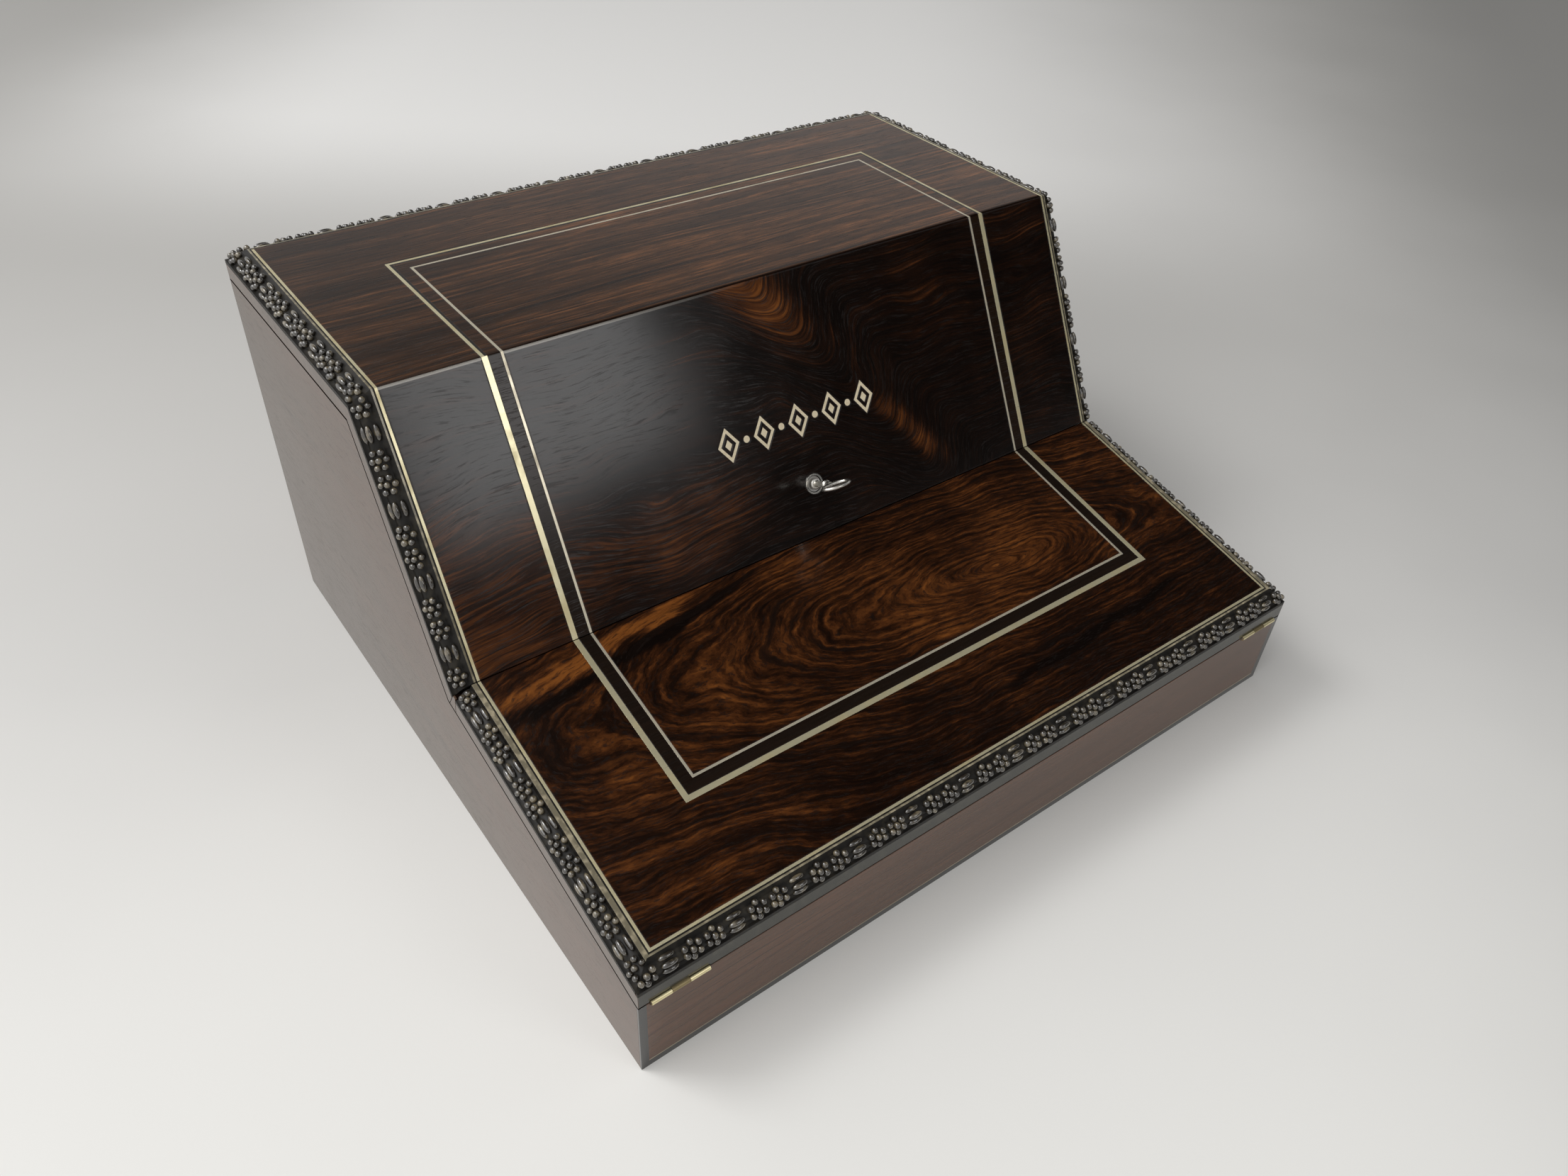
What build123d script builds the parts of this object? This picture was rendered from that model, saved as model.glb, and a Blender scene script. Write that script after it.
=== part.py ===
from build123d import *
import os
from math import cos, radians, sin

os.makedirs("parts", exist_ok=True)

# Frame: X to the right, Y to the back, Z up, in millimetres.
# The origin is on the table, under the middle of the box.

# Overall form
overall_width = 330.0
overall_depth = 300.0
field_height = 169.6
front_seam_height = 37.5
fold_from_front = 119.5
slope_angle = 12.0
fall_angle = 61.3
panel_thickness = 13.5
seam_gap = 0.4
fold_gap = 0.4
foot_face_angle = 122.0

# Boards and skins
wall_thickness = 9.0
veneer = 0.8
bottom_thickness = 6.0
rail_thickness = 11.5
corner_strip_width = 3.0
base_edging_height = 3.0
base_line_height = 0.6
lining_thickness = 0.8

# Nib of the side panels that fills the notch between flap and fall
nib_depth = 5.0
nib_clearance = 0.3

# Mouldings
moulding_width = 8.65
front_moulding_width = 7.0
moulding_bed = 7.0
moulding_drop = 6.0
moulding_fillet = 1.5
moulding_lip = 0.15
moulding_start_angle = 20.0
moulding_headroom = 0.5

# Stringing, as distances in from the inner edge of the mouldings
border_line_width = 1.0
border_width = 36.9
brass_band_width = 2.2
dark_band_width = 4.9
thin_line_width = 1.0

# Pale ornament of lozenges and dots on the fall
ornament_height_on_fall = 48.0
lozenge_pitch = 17.0
lozenge_count = 5
lozenge_width = 10.0
lozenge_height = 14.0
lozenge_stroke = 1.5
lozenge_heart = 0.32
dot_radius = 1.4

# Butt hinges
knuckle_radius = 1.0
pin_radius = 0.4
pin_clearance = 0.03
knuckle_clearance = 0.3
knuckle_end_gap = 0.15
hinge_setout = 0.2
leaf_thickness = 0.9
leaf_width = 7.5
front_hinge_length = 22.0
front_hinge_inset = 15.5
back_hinge_length = 34.0
back_hinge_inset = 60.0
middle_knuckle_share = 0.3

# Wood screws
screw_radius = 0.6
screw_head_radius = 1.2
screw_head_depth = 0.6
screw_length = 5.0
screw_slot_width = 0.3
screw_slot_depth = 0.25
pilot_clearance = 0.02
screw_end_distance = 4.0
screw_in_from_pivot = 4.6

# Lock, key and keyhole
keyhole_up_fall = 21.1
barrel_radius = 3.2
barrel_clearance = 0.05
barrel_relief = 0.4
escutcheon_outer_radius = 4.2
escutcheon_inner_radius = 3.5
escutcheon_depth = 1.5
escutcheon_rise = 0.3
lock_front_depth = 5.5
lock_wall = 1.0
lock_half_width = 10.0
lock_up = 10.0
lock_down = 22.0
lock_plate_half_width = 15.0
lock_screw_offset = 12.5
crank_disc_radius = 4.9
crank_disc_depth = 6.8
crank_disc_thickness = 1.8
crank_throw = 3.5
crank_pin_radius = 1.0
bolt_depth = 9.2
bolt_thickness = 2.4
bolt_width = 14.0
bolt_tip = 26.0
bolt_head = 7.5
bolt_slot_slack = 1.1
bolt_clearance = 0.35
bolt_travel = 7.0
bolt_way_end = 1.0
keyway_radius = 1.7
keyway_slot = 1.6
keyway_depth = 8.2
key_shank_radius = 1.4
key_in_depth = 7.9
key_out_length = 11.5
key_collar_radius = 2.3
key_collar_start = 0.6
key_collar_length = 1.2
key_bit_reach = 2.7
key_bit_thickness = 1.0
key_bit_length = 3.0
bow_centre_out = 15.3
bow_half_width = 7.0
bow_half_length = 4.9
bow_metal = 1.9
bow_thickness = 1.8
striker_length = 34.0
striker_width = 9.0
striker_thickness = 1.0
striker_screw_offset = 13.0

# Stationery rack
rack_thickness = 3.0
rack_top_below_seam = 1.0
groove_depth = 1.5
groove_clearance = 0.1
divider_thickness = 3.0
divider_pitch = 41.0
divider_headrooms = [10.0, 26.0, 12.0]
scoop_half_width = 55.0
scoop_depth = 12.0

# Linings
lining_margin = 4.0
lid_lining_thickness = 0.6
leather_margin = 16.0
leather_front_margin = 18.0
leather_rear_margin = 12.0

# Worked out from the sizes above
half_width = overall_width / 2
front_y = -overall_depth / 2
back_y = overall_depth / 2
inner_half_width = half_width - wall_thickness
skin_inside = half_width - veneer
field_half_width = half_width - moulding_width
front_hinge_centre = half_width - front_hinge_inset
back_hinge_centre = half_width - back_hinge_inset
lid_underside = panel_thickness - seam_gap / 2
case_edge = panel_thickness + seam_gap / 2
reach = overall_width + overall_depth


def step(point, angle, distance):
    """The point at a distance from another, along a line at an angle to the table."""
    return (point[0] + distance * cos(radians(angle)), point[1] + distance * sin(radians(angle)))


def meet(point_a, angle_a, point_b, angle_b):
    """The point where two lines in the YZ plane cross."""
    ay, az = cos(radians(angle_a)), sin(radians(angle_a))
    by, bz = cos(radians(angle_b)), sin(radians(angle_b))
    gap_y, gap_z = point_b[0] - point_a[0], point_b[1] - point_a[1]
    along = (gap_y * bz - gap_z * by) / (ay * bz - az * by)
    return (point_a[0] + along * ay, point_a[1] + along * az)


def direction(angle):
    """The unit vector in the YZ plane at an angle to the table."""
    return Vector(0, cos(radians(angle)), sin(radians(angle)))


def in_space(point, x=0.0):
    """A point of the YZ plane, at a distance to the right of the middle."""
    return Vector(x, point[0], point[1])


# The three panels: a point on the field of each, and its angle to the table.
field_front = (front_y, front_seam_height + panel_thickness / cos(radians(slope_angle)))
fold = step(field_front, slope_angle, fold_from_front / cos(radians(slope_angle)))
brow = meet(fold, fall_angle, (0.0, field_height), 0.0)
panels = {"slope": (fold, slope_angle), "fall": (fold, fall_angle), "top": (brow, 0.0)}

# The lines that end the panels, each a point and an angle.
front_face = ((front_y, 0.0), 90.0)
front_skin = ((front_y + veneer, 0.0), 90.0)
flap_rear = (step(fold, slope_angle, -fold_gap / 2), slope_angle + 90.0)
foot_face = (step(fold, slope_angle, fold_gap / 2), foot_face_angle)
brow_mitre = (brow, fall_angle / 2 + 90.0)
back_face = ((back_y, 0.0), 90.0)
back_skin = ((back_y - veneer, 0.0), 90.0)
panel_start = {"slope": front_face, "fall": foot_face, "top": brow_mitre}
panel_finish = {"slope": flap_rear, "fall": brow_mitre, "top": back_face}


def below(panel, depth):
    """The line at a depth below the field of a panel."""
    point, angle = panels[panel]
    return (step(point, angle - 90.0, depth), angle)


def panel_section(panel, shallow, deep, start=None, finish=None):
    """Corners of the slice of a panel between two depths below its field."""
    start = start or panel_start[panel]
    finish = finish or panel_finish[panel]
    upper, lower = below(panel, shallow), below(panel, deep)
    corners = [meet(*upper, *start), meet(*upper, *finish), meet(*lower, *finish)]
    low_start = meet(*lower, *start)
    under = below("slope", lid_underside)
    floor = meet(low_start, 90.0, *under)
    if panel == "fall" and low_start[1] < floor[1]:
        return corners + [meet(*lower, *under), meet(*start, *under)]
    return corners + [low_start]


def height_on(line, y):
    """The height of a line above the table at a distance from the middle."""
    return meet(*line, (y, 0.0), 90.0)[1]


# The top edge of the case, with the nib that stands up between flap and fall.
case_slope = below("slope", case_edge)
case_fall = below("fall", case_edge)
case_top = below("top", case_edge)
case_fold = meet(*case_slope, *case_fall)
case_brow = meet(*case_fall, *case_top)
nib_front = (step(flap_rear[0], slope_angle, nib_clearance), flap_rear[1])
nib_rear = (step(foot_face[0], foot_face_angle + 90.0, nib_clearance), foot_face_angle)
nib_top = below("slope", nib_depth)


def side_outline(start_y):
    """Corners of a side of the case, from the table to the seam."""
    return [
        (start_y, 0.0),
        (start_y, height_on(case_slope, start_y)),
        meet(*case_slope, *nib_front),
        meet(*nib_front, *nib_top),
        meet(*nib_top, *nib_rear),
        meet(*nib_rear, *case_slope),
        case_fold,
        case_brow,
        (back_y, case_top[0][1]),
        (back_y, 0.0),
    ]


# Hinge pivots, on the seam, just outside the front and back faces.
front_seam = (front_y, front_seam_height)
back_seam = (back_y, below("top", panel_thickness)[0][1])
front_pivot = step(front_seam, slope_angle + 180.0, hinge_setout)
back_pivot = step(back_seam, 0.0, hinge_setout)


def leaf_plane(pivot, inward_angle, outward_angle):
    """The seam face of a hinge leaf: Y runs in from the pivot, Z points out of the wood."""
    inward, outward = direction(inward_angle), direction(outward_angle)
    origin = in_space(pivot) - outward * (seam_gap / 2)
    return Plane(origin=origin, x_dir=inward.cross(outward), z_dir=outward)


front_case_leaf = leaf_plane(front_pivot, slope_angle, slope_angle + 90.0)
front_flap_leaf = leaf_plane(front_pivot, slope_angle, slope_angle - 90.0)
back_case_leaf = leaf_plane(back_pivot, 180.0, 90.0)
back_lid_leaf = leaf_plane(back_pivot, 180.0, -90.0)


def screw_places(centre, length):
    """Where the screws of the two hinges of a pair go, on the face of their leaves."""
    offset = length / 2 - screw_end_distance
    return [(side * centre + end * offset, screw_in_from_pivot) for side in (-1, 1) for end in (-1, 1)]


def hinge_recess(face, pivot, centre, length):
    """What a pair of hinges takes out of the wood: mortices, barrel grooves and pilot holes."""
    with BuildPart() as recess:
        with BuildSketch(face):
            with Locations((-centre, leaf_width / 2), (centre, leaf_width / 2)):
                Rectangle(length, leaf_width)
        extrude(amount=-leaf_thickness)
        for side in (-1, 1):
            with BuildSketch(Plane.YZ.offset(side * centre)):
                with Locations(pivot):
                    Circle(knuckle_radius + knuckle_clearance)
            extrude(amount=length / 2 + knuckle_clearance, both=True)
        with BuildSketch(face):
            with Locations(*screw_places(centre, length)):
                Circle(screw_radius + pilot_clearance)
        extrude(amount=-(screw_length + pilot_clearance))
    return recess.part


def knuckle_spans(length, middle):
    """Start and end of the knuckles of one leaf, from the middle of the hinge."""
    half_middle = length * middle_knuckle_share / 2
    if middle:
        return [(-half_middle, half_middle)]
    outer_start = half_middle + knuckle_end_gap
    return [(-length / 2, -outer_start), (outer_start, length / 2)]


def hinge_leaves(face, pivot, centre, length, middle):
    """A pair of hinge leaves with their knuckles, bored for the pins and screws."""
    with BuildPart() as leaves:
        with BuildSketch(face):
            with Locations((-centre, leaf_width / 2), (centre, leaf_width / 2)):
                Rectangle(length, leaf_width)
        extrude(amount=-leaf_thickness)
        for side in (-1, 1):
            for start, end in knuckle_spans(length, not middle):
                with BuildSketch(Plane.YZ.offset(side * centre + start - knuckle_end_gap)):
                    with Locations(pivot):
                        Circle(knuckle_radius + knuckle_clearance)
                extrude(amount=end - start + 2 * knuckle_end_gap, mode=Mode.SUBTRACT)
            for start, end in knuckle_spans(length, middle):
                with BuildSketch(Plane.YZ.offset(side * centre + start)):
                    with Locations(pivot):
                        Circle(knuckle_radius)
                extrude(amount=end - start)
            with BuildSketch(Plane.YZ.offset(side * centre)):
                with Locations(pivot):
                    Circle(pin_radius + pin_clearance)
            extrude(amount=length, both=True, mode=Mode.SUBTRACT)
        with BuildSketch(face):
            with Locations(*screw_places(centre, length)):
                Circle(screw_radius + pilot_clearance)
        extrude(amount=-leaf_thickness, mode=Mode.SUBTRACT)
        with Locations(*[face.location * Pos(x, y, 0) for x, y in screw_places(centre, length)]):
            Cone(
                bottom_radius=screw_radius + pilot_clearance,
                top_radius=screw_head_radius + pilot_clearance,
                height=screw_head_depth,
                align=(Align.CENTER, Align.CENTER, Align.MAX),
                mode=Mode.SUBTRACT,
            )
    return leaves.part


def wood_screws(face, places):
    """Countersunk slotted screws, driven in square to a face with their heads flush."""
    above = (Align.CENTER, Align.CENTER, Align.MAX)
    with BuildPart() as screws:
        with Locations(*[face.location * Pos(x, y, 0) for x, y in places]):
            Cylinder(screw_radius, screw_length, align=above)
            Cone(screw_radius, screw_head_radius, screw_head_depth, align=above)
            Box(2 * screw_head_radius, screw_slot_width, screw_slot_depth, align=above, mode=Mode.SUBTRACT)
    return screws.part


# Stringing. Each line or band is a frame on its panel that is open at the fold.
# Its plane starts at the inner edge of the end moulding, with Y towards the fold.
slope_inner = step(field_front, slope_angle, front_moulding_width)
top_inner = (back_y - moulding_width, field_height)
fall_beyond = step(fold, fall_angle, -reach)
frame_planes = {
    "slope": Plane(origin=in_space(slope_inner), x_dir=(1, 0, 0), z_dir=direction(slope_angle + 90.0)),
    "fall": Plane(origin=in_space(fall_beyond), x_dir=(1, 0, 0), z_dir=direction(fall_angle + 90.0)),
    "top": Plane(origin=in_space(top_inner), x_dir=(-1, 0, 0), z_dir=(0, 0, 1)),
}
border_line = (0.0, border_line_width)
border = (border_line[1], border_line[1] + border_width)
brass_band = (border[1], border[1] + brass_band_width)
dark_band = (brass_band[1], brass_band[1] + dark_band_width)
thin_line = (dark_band[1], dark_band[1] + thin_line_width)
from_bottom = (Align.CENTER, Align.MIN)


def inlay(panel, outer, inner, end_outer=None):
    """The frame between two insets from the mouldings; with no inner inset, a plain field."""
    end_outer = outer if end_outer is None else end_outer
    with BuildPart() as strips:
        with BuildSketch(frame_planes[panel]):
            with Locations((0, end_outer)):
                Rectangle(2 * (field_half_width - outer), 2 * reach, align=from_bottom)
            if inner is not None:
                with Locations((0, inner)):
                    Rectangle(
                        2 * (field_half_width - inner), 2 * reach, align=from_bottom, mode=Mode.SUBTRACT
                    )
        extrude(amount=-veneer)
        with BuildSketch(Plane.YZ):
            Polygon(*panel_section(panel, 0.0, veneer))
        extrude(amount=half_width, both=True, mode=Mode.INTERSECT)
    return strips.part


def over_brow(outer, inner):
    """A frame that runs over the brow, from the top down the fall."""
    with BuildPart() as strips:
        add(inlay("top", outer, inner))
        add(inlay("fall", outer, inner))
    return strips.part


# Mouldings. The side ones are ovolos that run along the panel's edge.
ovolo_tangent = (cos(radians(moulding_start_angle)), -sin(radians(moulding_start_angle)))


def corner_mitre(inner, outer, panel_normal):
    """The plane of a mitre between a side moulding and an end moulding."""
    across = outer - inner
    return Plane(origin=inner, x_dir=across, z_dir=across.cross(panel_normal))


front_mitre = corner_mitre(
    in_space(slope_inner, field_half_width),
    in_space(field_front, half_width),
    direction(slope_angle + 90.0),
)
back_mitre = corner_mitre(
    in_space(top_inner, field_half_width),
    in_space((back_y, field_height), half_width),
    direction(90.0),
)


def side_mouldings(panel, mitre=None, keep=Keep.TOP):
    """The left and right mouldings of a panel, mitred at an end corner where there is one."""
    point, angle = panels[panel]
    with BuildPart() as pair:
        with BuildSketch(Plane(origin=in_space(point), x_dir=(1, 0, 0), z_dir=direction(angle))):
            with BuildLine():
                Polyline(
                    (half_width - moulding_lip, moulding_drop),
                    (half_width, moulding_drop),
                    (half_width, moulding_bed),
                    (field_half_width, moulding_bed),
                    (field_half_width, 0),
                    (field_half_width + moulding_fillet, 0),
                )
                TangentArc(
                    (field_half_width + moulding_fillet, 0),
                    (half_width - moulding_lip, moulding_drop),
                    tangent=ovolo_tangent,
                )
            make_face()
        extrude(amount=reach, both=True)
        with BuildSketch(Plane.YZ):
            Polygon(*panel_section(panel, -moulding_headroom, moulding_bed))
        extrude(amount=half_width, both=True, mode=Mode.INTERSECT)
        if mitre is not None:
            split(bisect_by=mitre, keep=keep)
        mirror(about=Plane.YZ)
    return pair.part


# Case
with BuildPart() as bottom_board:
    Box(
        2 * inner_half_width,
        overall_depth - 2 * wall_thickness,
        bottom_thickness,
        align=(Align.CENTER, Align.CENTER, Align.MIN),
    )

front_recess = hinge_recess(front_case_leaf, front_pivot, front_hinge_centre, front_hinge_length)
back_recess = hinge_recess(back_case_leaf, back_pivot, back_hinge_centre, back_hinge_length)
front_inner = front_y + wall_thickness
back_inner = back_y - wall_thickness

with BuildPart() as front_board:
    with BuildSketch(Plane.YZ):
        Polygon(
            (front_y + veneer, 0),
            (front_y + veneer, height_on(case_slope, front_y + veneer)),
            (front_inner, height_on(case_slope, front_inner)),
            (front_inner, 0),
        )
    extrude(amount=inner_half_width, both=True)
    add(front_recess, mode=Mode.SUBTRACT)

with BuildPart() as back_board:
    with BuildSketch(Plane.YZ):
        Polygon((back_inner, 0), (back_y, 0), (back_y, case_top[0][1]), (back_inner, case_top[0][1]))
    extrude(amount=inner_half_width, both=True)
    add(back_recess, mode=Mode.SUBTRACT)

with BuildPart() as right_side_board:
    with BuildSketch(Plane.YZ.offset(inner_half_width)):
        Polygon(*side_outline(front_y + veneer))
    extrude(amount=wall_thickness - veneer)
    add(front_recess, mode=Mode.SUBTRACT)

with BuildPart() as left_side_board:
    mirror(right_side_board.part, about=Plane.YZ)

with BuildPart() as side_veneers:
    with BuildSketch(Plane.YZ.offset(skin_inside)):
        Polygon(*side_outline(front_y + veneer))
    extrude(amount=veneer)
    mirror(about=Plane.YZ)

front_veneer_foot = base_edging_height + base_line_height
front_skin_top = height_on(case_slope, front_y)

with BuildPart() as front_veneer:
    with BuildSketch(Plane.YZ):
        Polygon(
            (front_y, front_veneer_foot),
            (front_y, front_skin_top),
            (front_y + veneer, height_on(case_slope, front_y + veneer)),
            (front_y + veneer, front_veneer_foot),
        )
    extrude(amount=half_width - corner_strip_width, both=True)
    add(front_recess, mode=Mode.SUBTRACT)

with BuildPart() as corner_strips:
    with BuildSketch(Plane.YZ.offset(half_width - corner_strip_width)):
        Polygon(
            (front_y, base_edging_height),
            (front_y, front_skin_top),
            (front_y + veneer, height_on(case_slope, front_y + veneer)),
            (front_y + veneer, base_edging_height),
        )
    extrude(amount=corner_strip_width)
    mirror(about=Plane.YZ)

with BuildPart() as base_edging:
    with BuildSketch(Plane.XY):
        with Locations((0, front_y)):
            Rectangle(overall_width, veneer, align=from_bottom)
    extrude(amount=base_edging_height)

with BuildPart() as base_line:
    with BuildSketch(Plane.XY.offset(base_edging_height)):
        with Locations((0, front_y)):
            Rectangle(2 * (half_width - corner_strip_width), veneer, align=from_bottom)
    extrude(amount=base_line_height)

# Lock placing. The lock plane has X to the right, Y up the fall and Z out of the fall.
# The bolt plane looks along the fall, with Y as the depth below the field.
keyhole = step(fold, fall_angle, keyhole_up_fall)
lock_plane = Plane(origin=in_space(keyhole), x_dir=(1, 0, 0), z_dir=direction(fall_angle + 90.0))
bolt_plane = Plane(origin=in_space(keyhole), x_dir=(1, 0, 0), z_dir=direction(fall_angle))
bolt_middle = bolt_depth + bolt_thickness / 2
bolt_line = (step(keyhole, fall_angle - 90.0, bolt_middle), fall_angle)
striker_point = meet(*bolt_line, *case_slope)
striker_plane = Plane(
    origin=in_space(striker_point), x_dir=(1, 0, 0), z_dir=direction(slope_angle + 90.0)
)
striker_screw_places = [(-striker_screw_offset, 0), (striker_screw_offset, 0)]

with BuildPart() as bolt_way:
    with BuildSketch(bolt_plane.offset(-lock_down)):
        with Locations((0, bolt_middle)):
            Rectangle(bolt_width + 2 * bolt_clearance, bolt_thickness + 2 * bolt_clearance)
    extrude(amount=-(bolt_tip + bolt_travel - lock_down + bolt_way_end))

rail_rear = case_fold[0]
rail_front = rail_rear - rail_thickness

with BuildPart() as cross_rail:
    with BuildSketch(Plane.YZ):
        Polygon(
            (rail_front, bottom_thickness),
            (rail_front, height_on(case_slope, rail_front)),
            case_fold,
            (rail_rear, bottom_thickness),
        )
    extrude(amount=inner_half_width, both=True)
    with BuildSketch(striker_plane):
        Rectangle(striker_length, striker_width)
    extrude(amount=-striker_thickness, mode=Mode.SUBTRACT)
    with BuildSketch(striker_plane):
        with Locations(*striker_screw_places):
            Circle(screw_radius + pilot_clearance)
    extrude(amount=-(screw_length + pilot_clearance), mode=Mode.SUBTRACT)
    add(bolt_way.part, mode=Mode.SUBTRACT)

with BuildPart() as striker_plate:
    with BuildSketch(striker_plane):
        Rectangle(striker_length, striker_width)
    extrude(amount=-striker_thickness)
    add(bolt_way.part, mode=Mode.SUBTRACT)
    with Locations(*[striker_plane.location * Pos(x, y, 0) for x, y in striker_screw_places]):
        CounterSinkHole(
            radius=screw_radius + pilot_clearance,
            counter_sink_radius=screw_head_radius + pilot_clearance,
            depth=striker_thickness,
        )

striker_screws = wood_screws(striker_plane, striker_screw_places)

# Stationery rack
rack_inside = inner_half_width - rack_thickness
rack_fall = below("fall", case_edge + rack_top_below_seam)
rack_top = below("top", case_edge + rack_top_below_seam)
floor_height = bottom_thickness + lining_thickness
divider_places = [rail_rear + divider_pitch * (count + 1) - divider_pitch / 4 for count in range(3)]

with BuildPart() as divider_racks:
    with BuildSketch(Plane.YZ.offset(rack_inside)):
        Polygon(
            (rail_rear, bottom_thickness),
            (rail_rear, height_on(rack_fall, rail_rear)),
            meet(*rack_fall, *rack_top),
            (back_inner, rack_top[0][1]),
            (back_inner, bottom_thickness),
        )
    extrude(amount=rack_thickness)
    with BuildSketch(Plane.YZ.offset(rack_inside)):
        with Locations(*[(place, floor_height) for place in divider_places]):
            Rectangle(divider_thickness + 2 * groove_clearance, overall_depth, align=from_bottom)
    extrude(amount=groove_depth, mode=Mode.SUBTRACT)
    mirror(about=Plane.YZ)


def divider(place, headroom):
    """A board between two stacks of paper, with a shallow scoop in its top edge."""
    lid_above = min(
        height_on(below("fall", lid_underside), place - divider_thickness / 2),
        below("top", lid_underside)[0][1],
    )
    top = lid_above - headroom
    board_width = 2 * (rack_inside + groove_depth - groove_clearance)
    scoop_radius = (scoop_half_width**2 + scoop_depth**2) / (2 * scoop_depth)
    with BuildPart() as board:
        with BuildSketch(Plane.XZ.offset(-place)):
            with Locations((0, floor_height)):
                Rectangle(board_width, top - floor_height, align=from_bottom)
            with Locations((0, top - scoop_depth + scoop_radius)):
                Circle(scoop_radius, mode=Mode.SUBTRACT)
        extrude(amount=divider_thickness / 2, both=True)
    return board.part


front_divider, middle_divider, rear_divider = [
    divider(place, headroom) for place, headroom in zip(divider_places, divider_headrooms)
]

with BuildPart() as floor_linings:
    with BuildSketch(Plane.XY.offset(bottom_thickness)):
        with Locations((0, front_inner)):
            Rectangle(2 * inner_half_width, rail_front - front_inner, align=from_bottom)
        with Locations((0, rail_rear)):
            Rectangle(2 * rack_inside, back_inner - rail_rear, align=from_bottom)
    extrude(amount=lining_thickness)

# Hinges
front_case_leaves = hinge_leaves(
    front_case_leaf, front_pivot, front_hinge_centre, front_hinge_length, middle=False
)
front_flap_leaves = hinge_leaves(
    front_flap_leaf, front_pivot, front_hinge_centre, front_hinge_length, middle=True
)
back_case_leaves = hinge_leaves(
    back_case_leaf, back_pivot, back_hinge_centre, back_hinge_length, middle=False
)
back_lid_leaves = hinge_leaves(
    back_lid_leaf, back_pivot, back_hinge_centre, back_hinge_length, middle=True
)

with BuildPart() as hinge_pins:
    for pivot, centre, length in (
        (front_pivot, front_hinge_centre, front_hinge_length),
        (back_pivot, back_hinge_centre, back_hinge_length),
    ):
        for side in (-1, 1):
            with BuildSketch(Plane.YZ.offset(side * centre)):
                with Locations(pivot):
                    Circle(pin_radius)
            extrude(amount=length / 2, both=True)

front_places = screw_places(front_hinge_centre, front_hinge_length)
back_places = screw_places(back_hinge_centre, back_hinge_length)

with BuildPart() as case_hinge_screws:
    add(wood_screws(front_case_leaf, front_places))
    add(wood_screws(back_case_leaf, back_places))

flap_hinge_screws = wood_screws(front_flap_leaf, front_places)
lid_hinge_screws = wood_screws(back_lid_leaf, back_places)

# Flap
flap_recess = hinge_recess(front_flap_leaf, front_pivot, front_hinge_centre, front_hinge_length)
leather_place = Plane(
    origin=in_space(meet(*below("slope", lid_underside), *front_face)),
    x_dir=(1, 0, 0),
    z_dir=direction(slope_angle + 90.0),
)
leather_length = fold_from_front - leather_front_margin - leather_rear_margin

with BuildPart() as writing_leather:
    with BuildSketch(leather_place):
        with Locations((0, leather_front_margin)):
            Rectangle(2 * (half_width - leather_margin), leather_length, align=from_bottom)
    extrude(amount=lining_thickness)

with BuildPart() as slope_board:
    with BuildSketch(Plane.YZ):
        Polygon(*panel_section("slope", moulding_bed, lid_underside, start=front_skin))
    extrude(amount=skin_inside, both=True)
    with BuildSketch(Plane.YZ):
        Polygon(
            *panel_section("slope", veneer, moulding_bed, start=(slope_inner, slope_angle + 90.0))
        )
    extrude(amount=field_half_width, both=True)
    add(flap_recess, mode=Mode.SUBTRACT)
    add(writing_leather.part, mode=Mode.SUBTRACT)

with BuildPart() as flap_edge_veneer:
    with BuildSketch(Plane.YZ.offset(skin_inside)):
        Polygon(*panel_section("slope", moulding_bed, lid_underside, start=front_skin))
    extrude(amount=veneer)
    mirror(about=Plane.YZ)
    with BuildSketch(Plane.YZ):
        Polygon(*panel_section("slope", moulding_bed, lid_underside, finish=front_skin))
    extrude(amount=half_width, both=True)
    add(flap_recess, mode=Mode.SUBTRACT)

slope_side_mouldings = side_mouldings("slope", front_mitre, Keep.BOTTOM)
front_arris = meet(*below("slope", moulding_drop), *front_face)
front_fillet = step(slope_inner, slope_angle, -moulding_fillet)
front_tangent_angle = slope_angle + 180.0 - moulding_start_angle

with BuildPart() as front_moulding:
    with BuildSketch(Plane.YZ):
        with BuildLine():
            Polyline(
                (front_y + moulding_lip, front_arris[1]),
                front_arris,
                meet(*below("slope", moulding_bed), *front_face),
                step(slope_inner, slope_angle - 90.0, moulding_bed),
                slope_inner,
                front_fillet,
            )
            TangentArc(
                front_fillet,
                (front_y + moulding_lip, front_arris[1]),
                tangent=(cos(radians(front_tangent_angle)), sin(radians(front_tangent_angle))),
            )
        make_face()
    extrude(amount=half_width)
    split(bisect_by=front_mitre, keep=Keep.TOP)
    mirror(about=Plane.YZ)

with BuildPart() as slope_veneer:
    add(inlay("slope", border[0], border[1]))
    add(inlay("slope", thin_line[1], None))

slope_band = inlay("slope", *dark_band)
flap_brass_band = inlay("slope", *brass_band)
flap_thin_line = inlay("slope", *thin_line)
flap_border_line = inlay("slope", *border_line)

# Lid
lid_recess = hinge_recess(back_lid_leaf, back_pivot, back_hinge_centre, back_hinge_length)

with BuildPart() as top_board:
    with BuildSketch(Plane.YZ):
        Polygon(*panel_section("top", moulding_bed, lid_underside, finish=back_skin))
    extrude(amount=skin_inside, both=True)
    with BuildSketch(Plane.YZ):
        Polygon(*panel_section("top", veneer, moulding_bed, finish=(top_inner, 90.0)))
    extrude(amount=field_half_width, both=True)
    add(lid_recess, mode=Mode.SUBTRACT)

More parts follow.
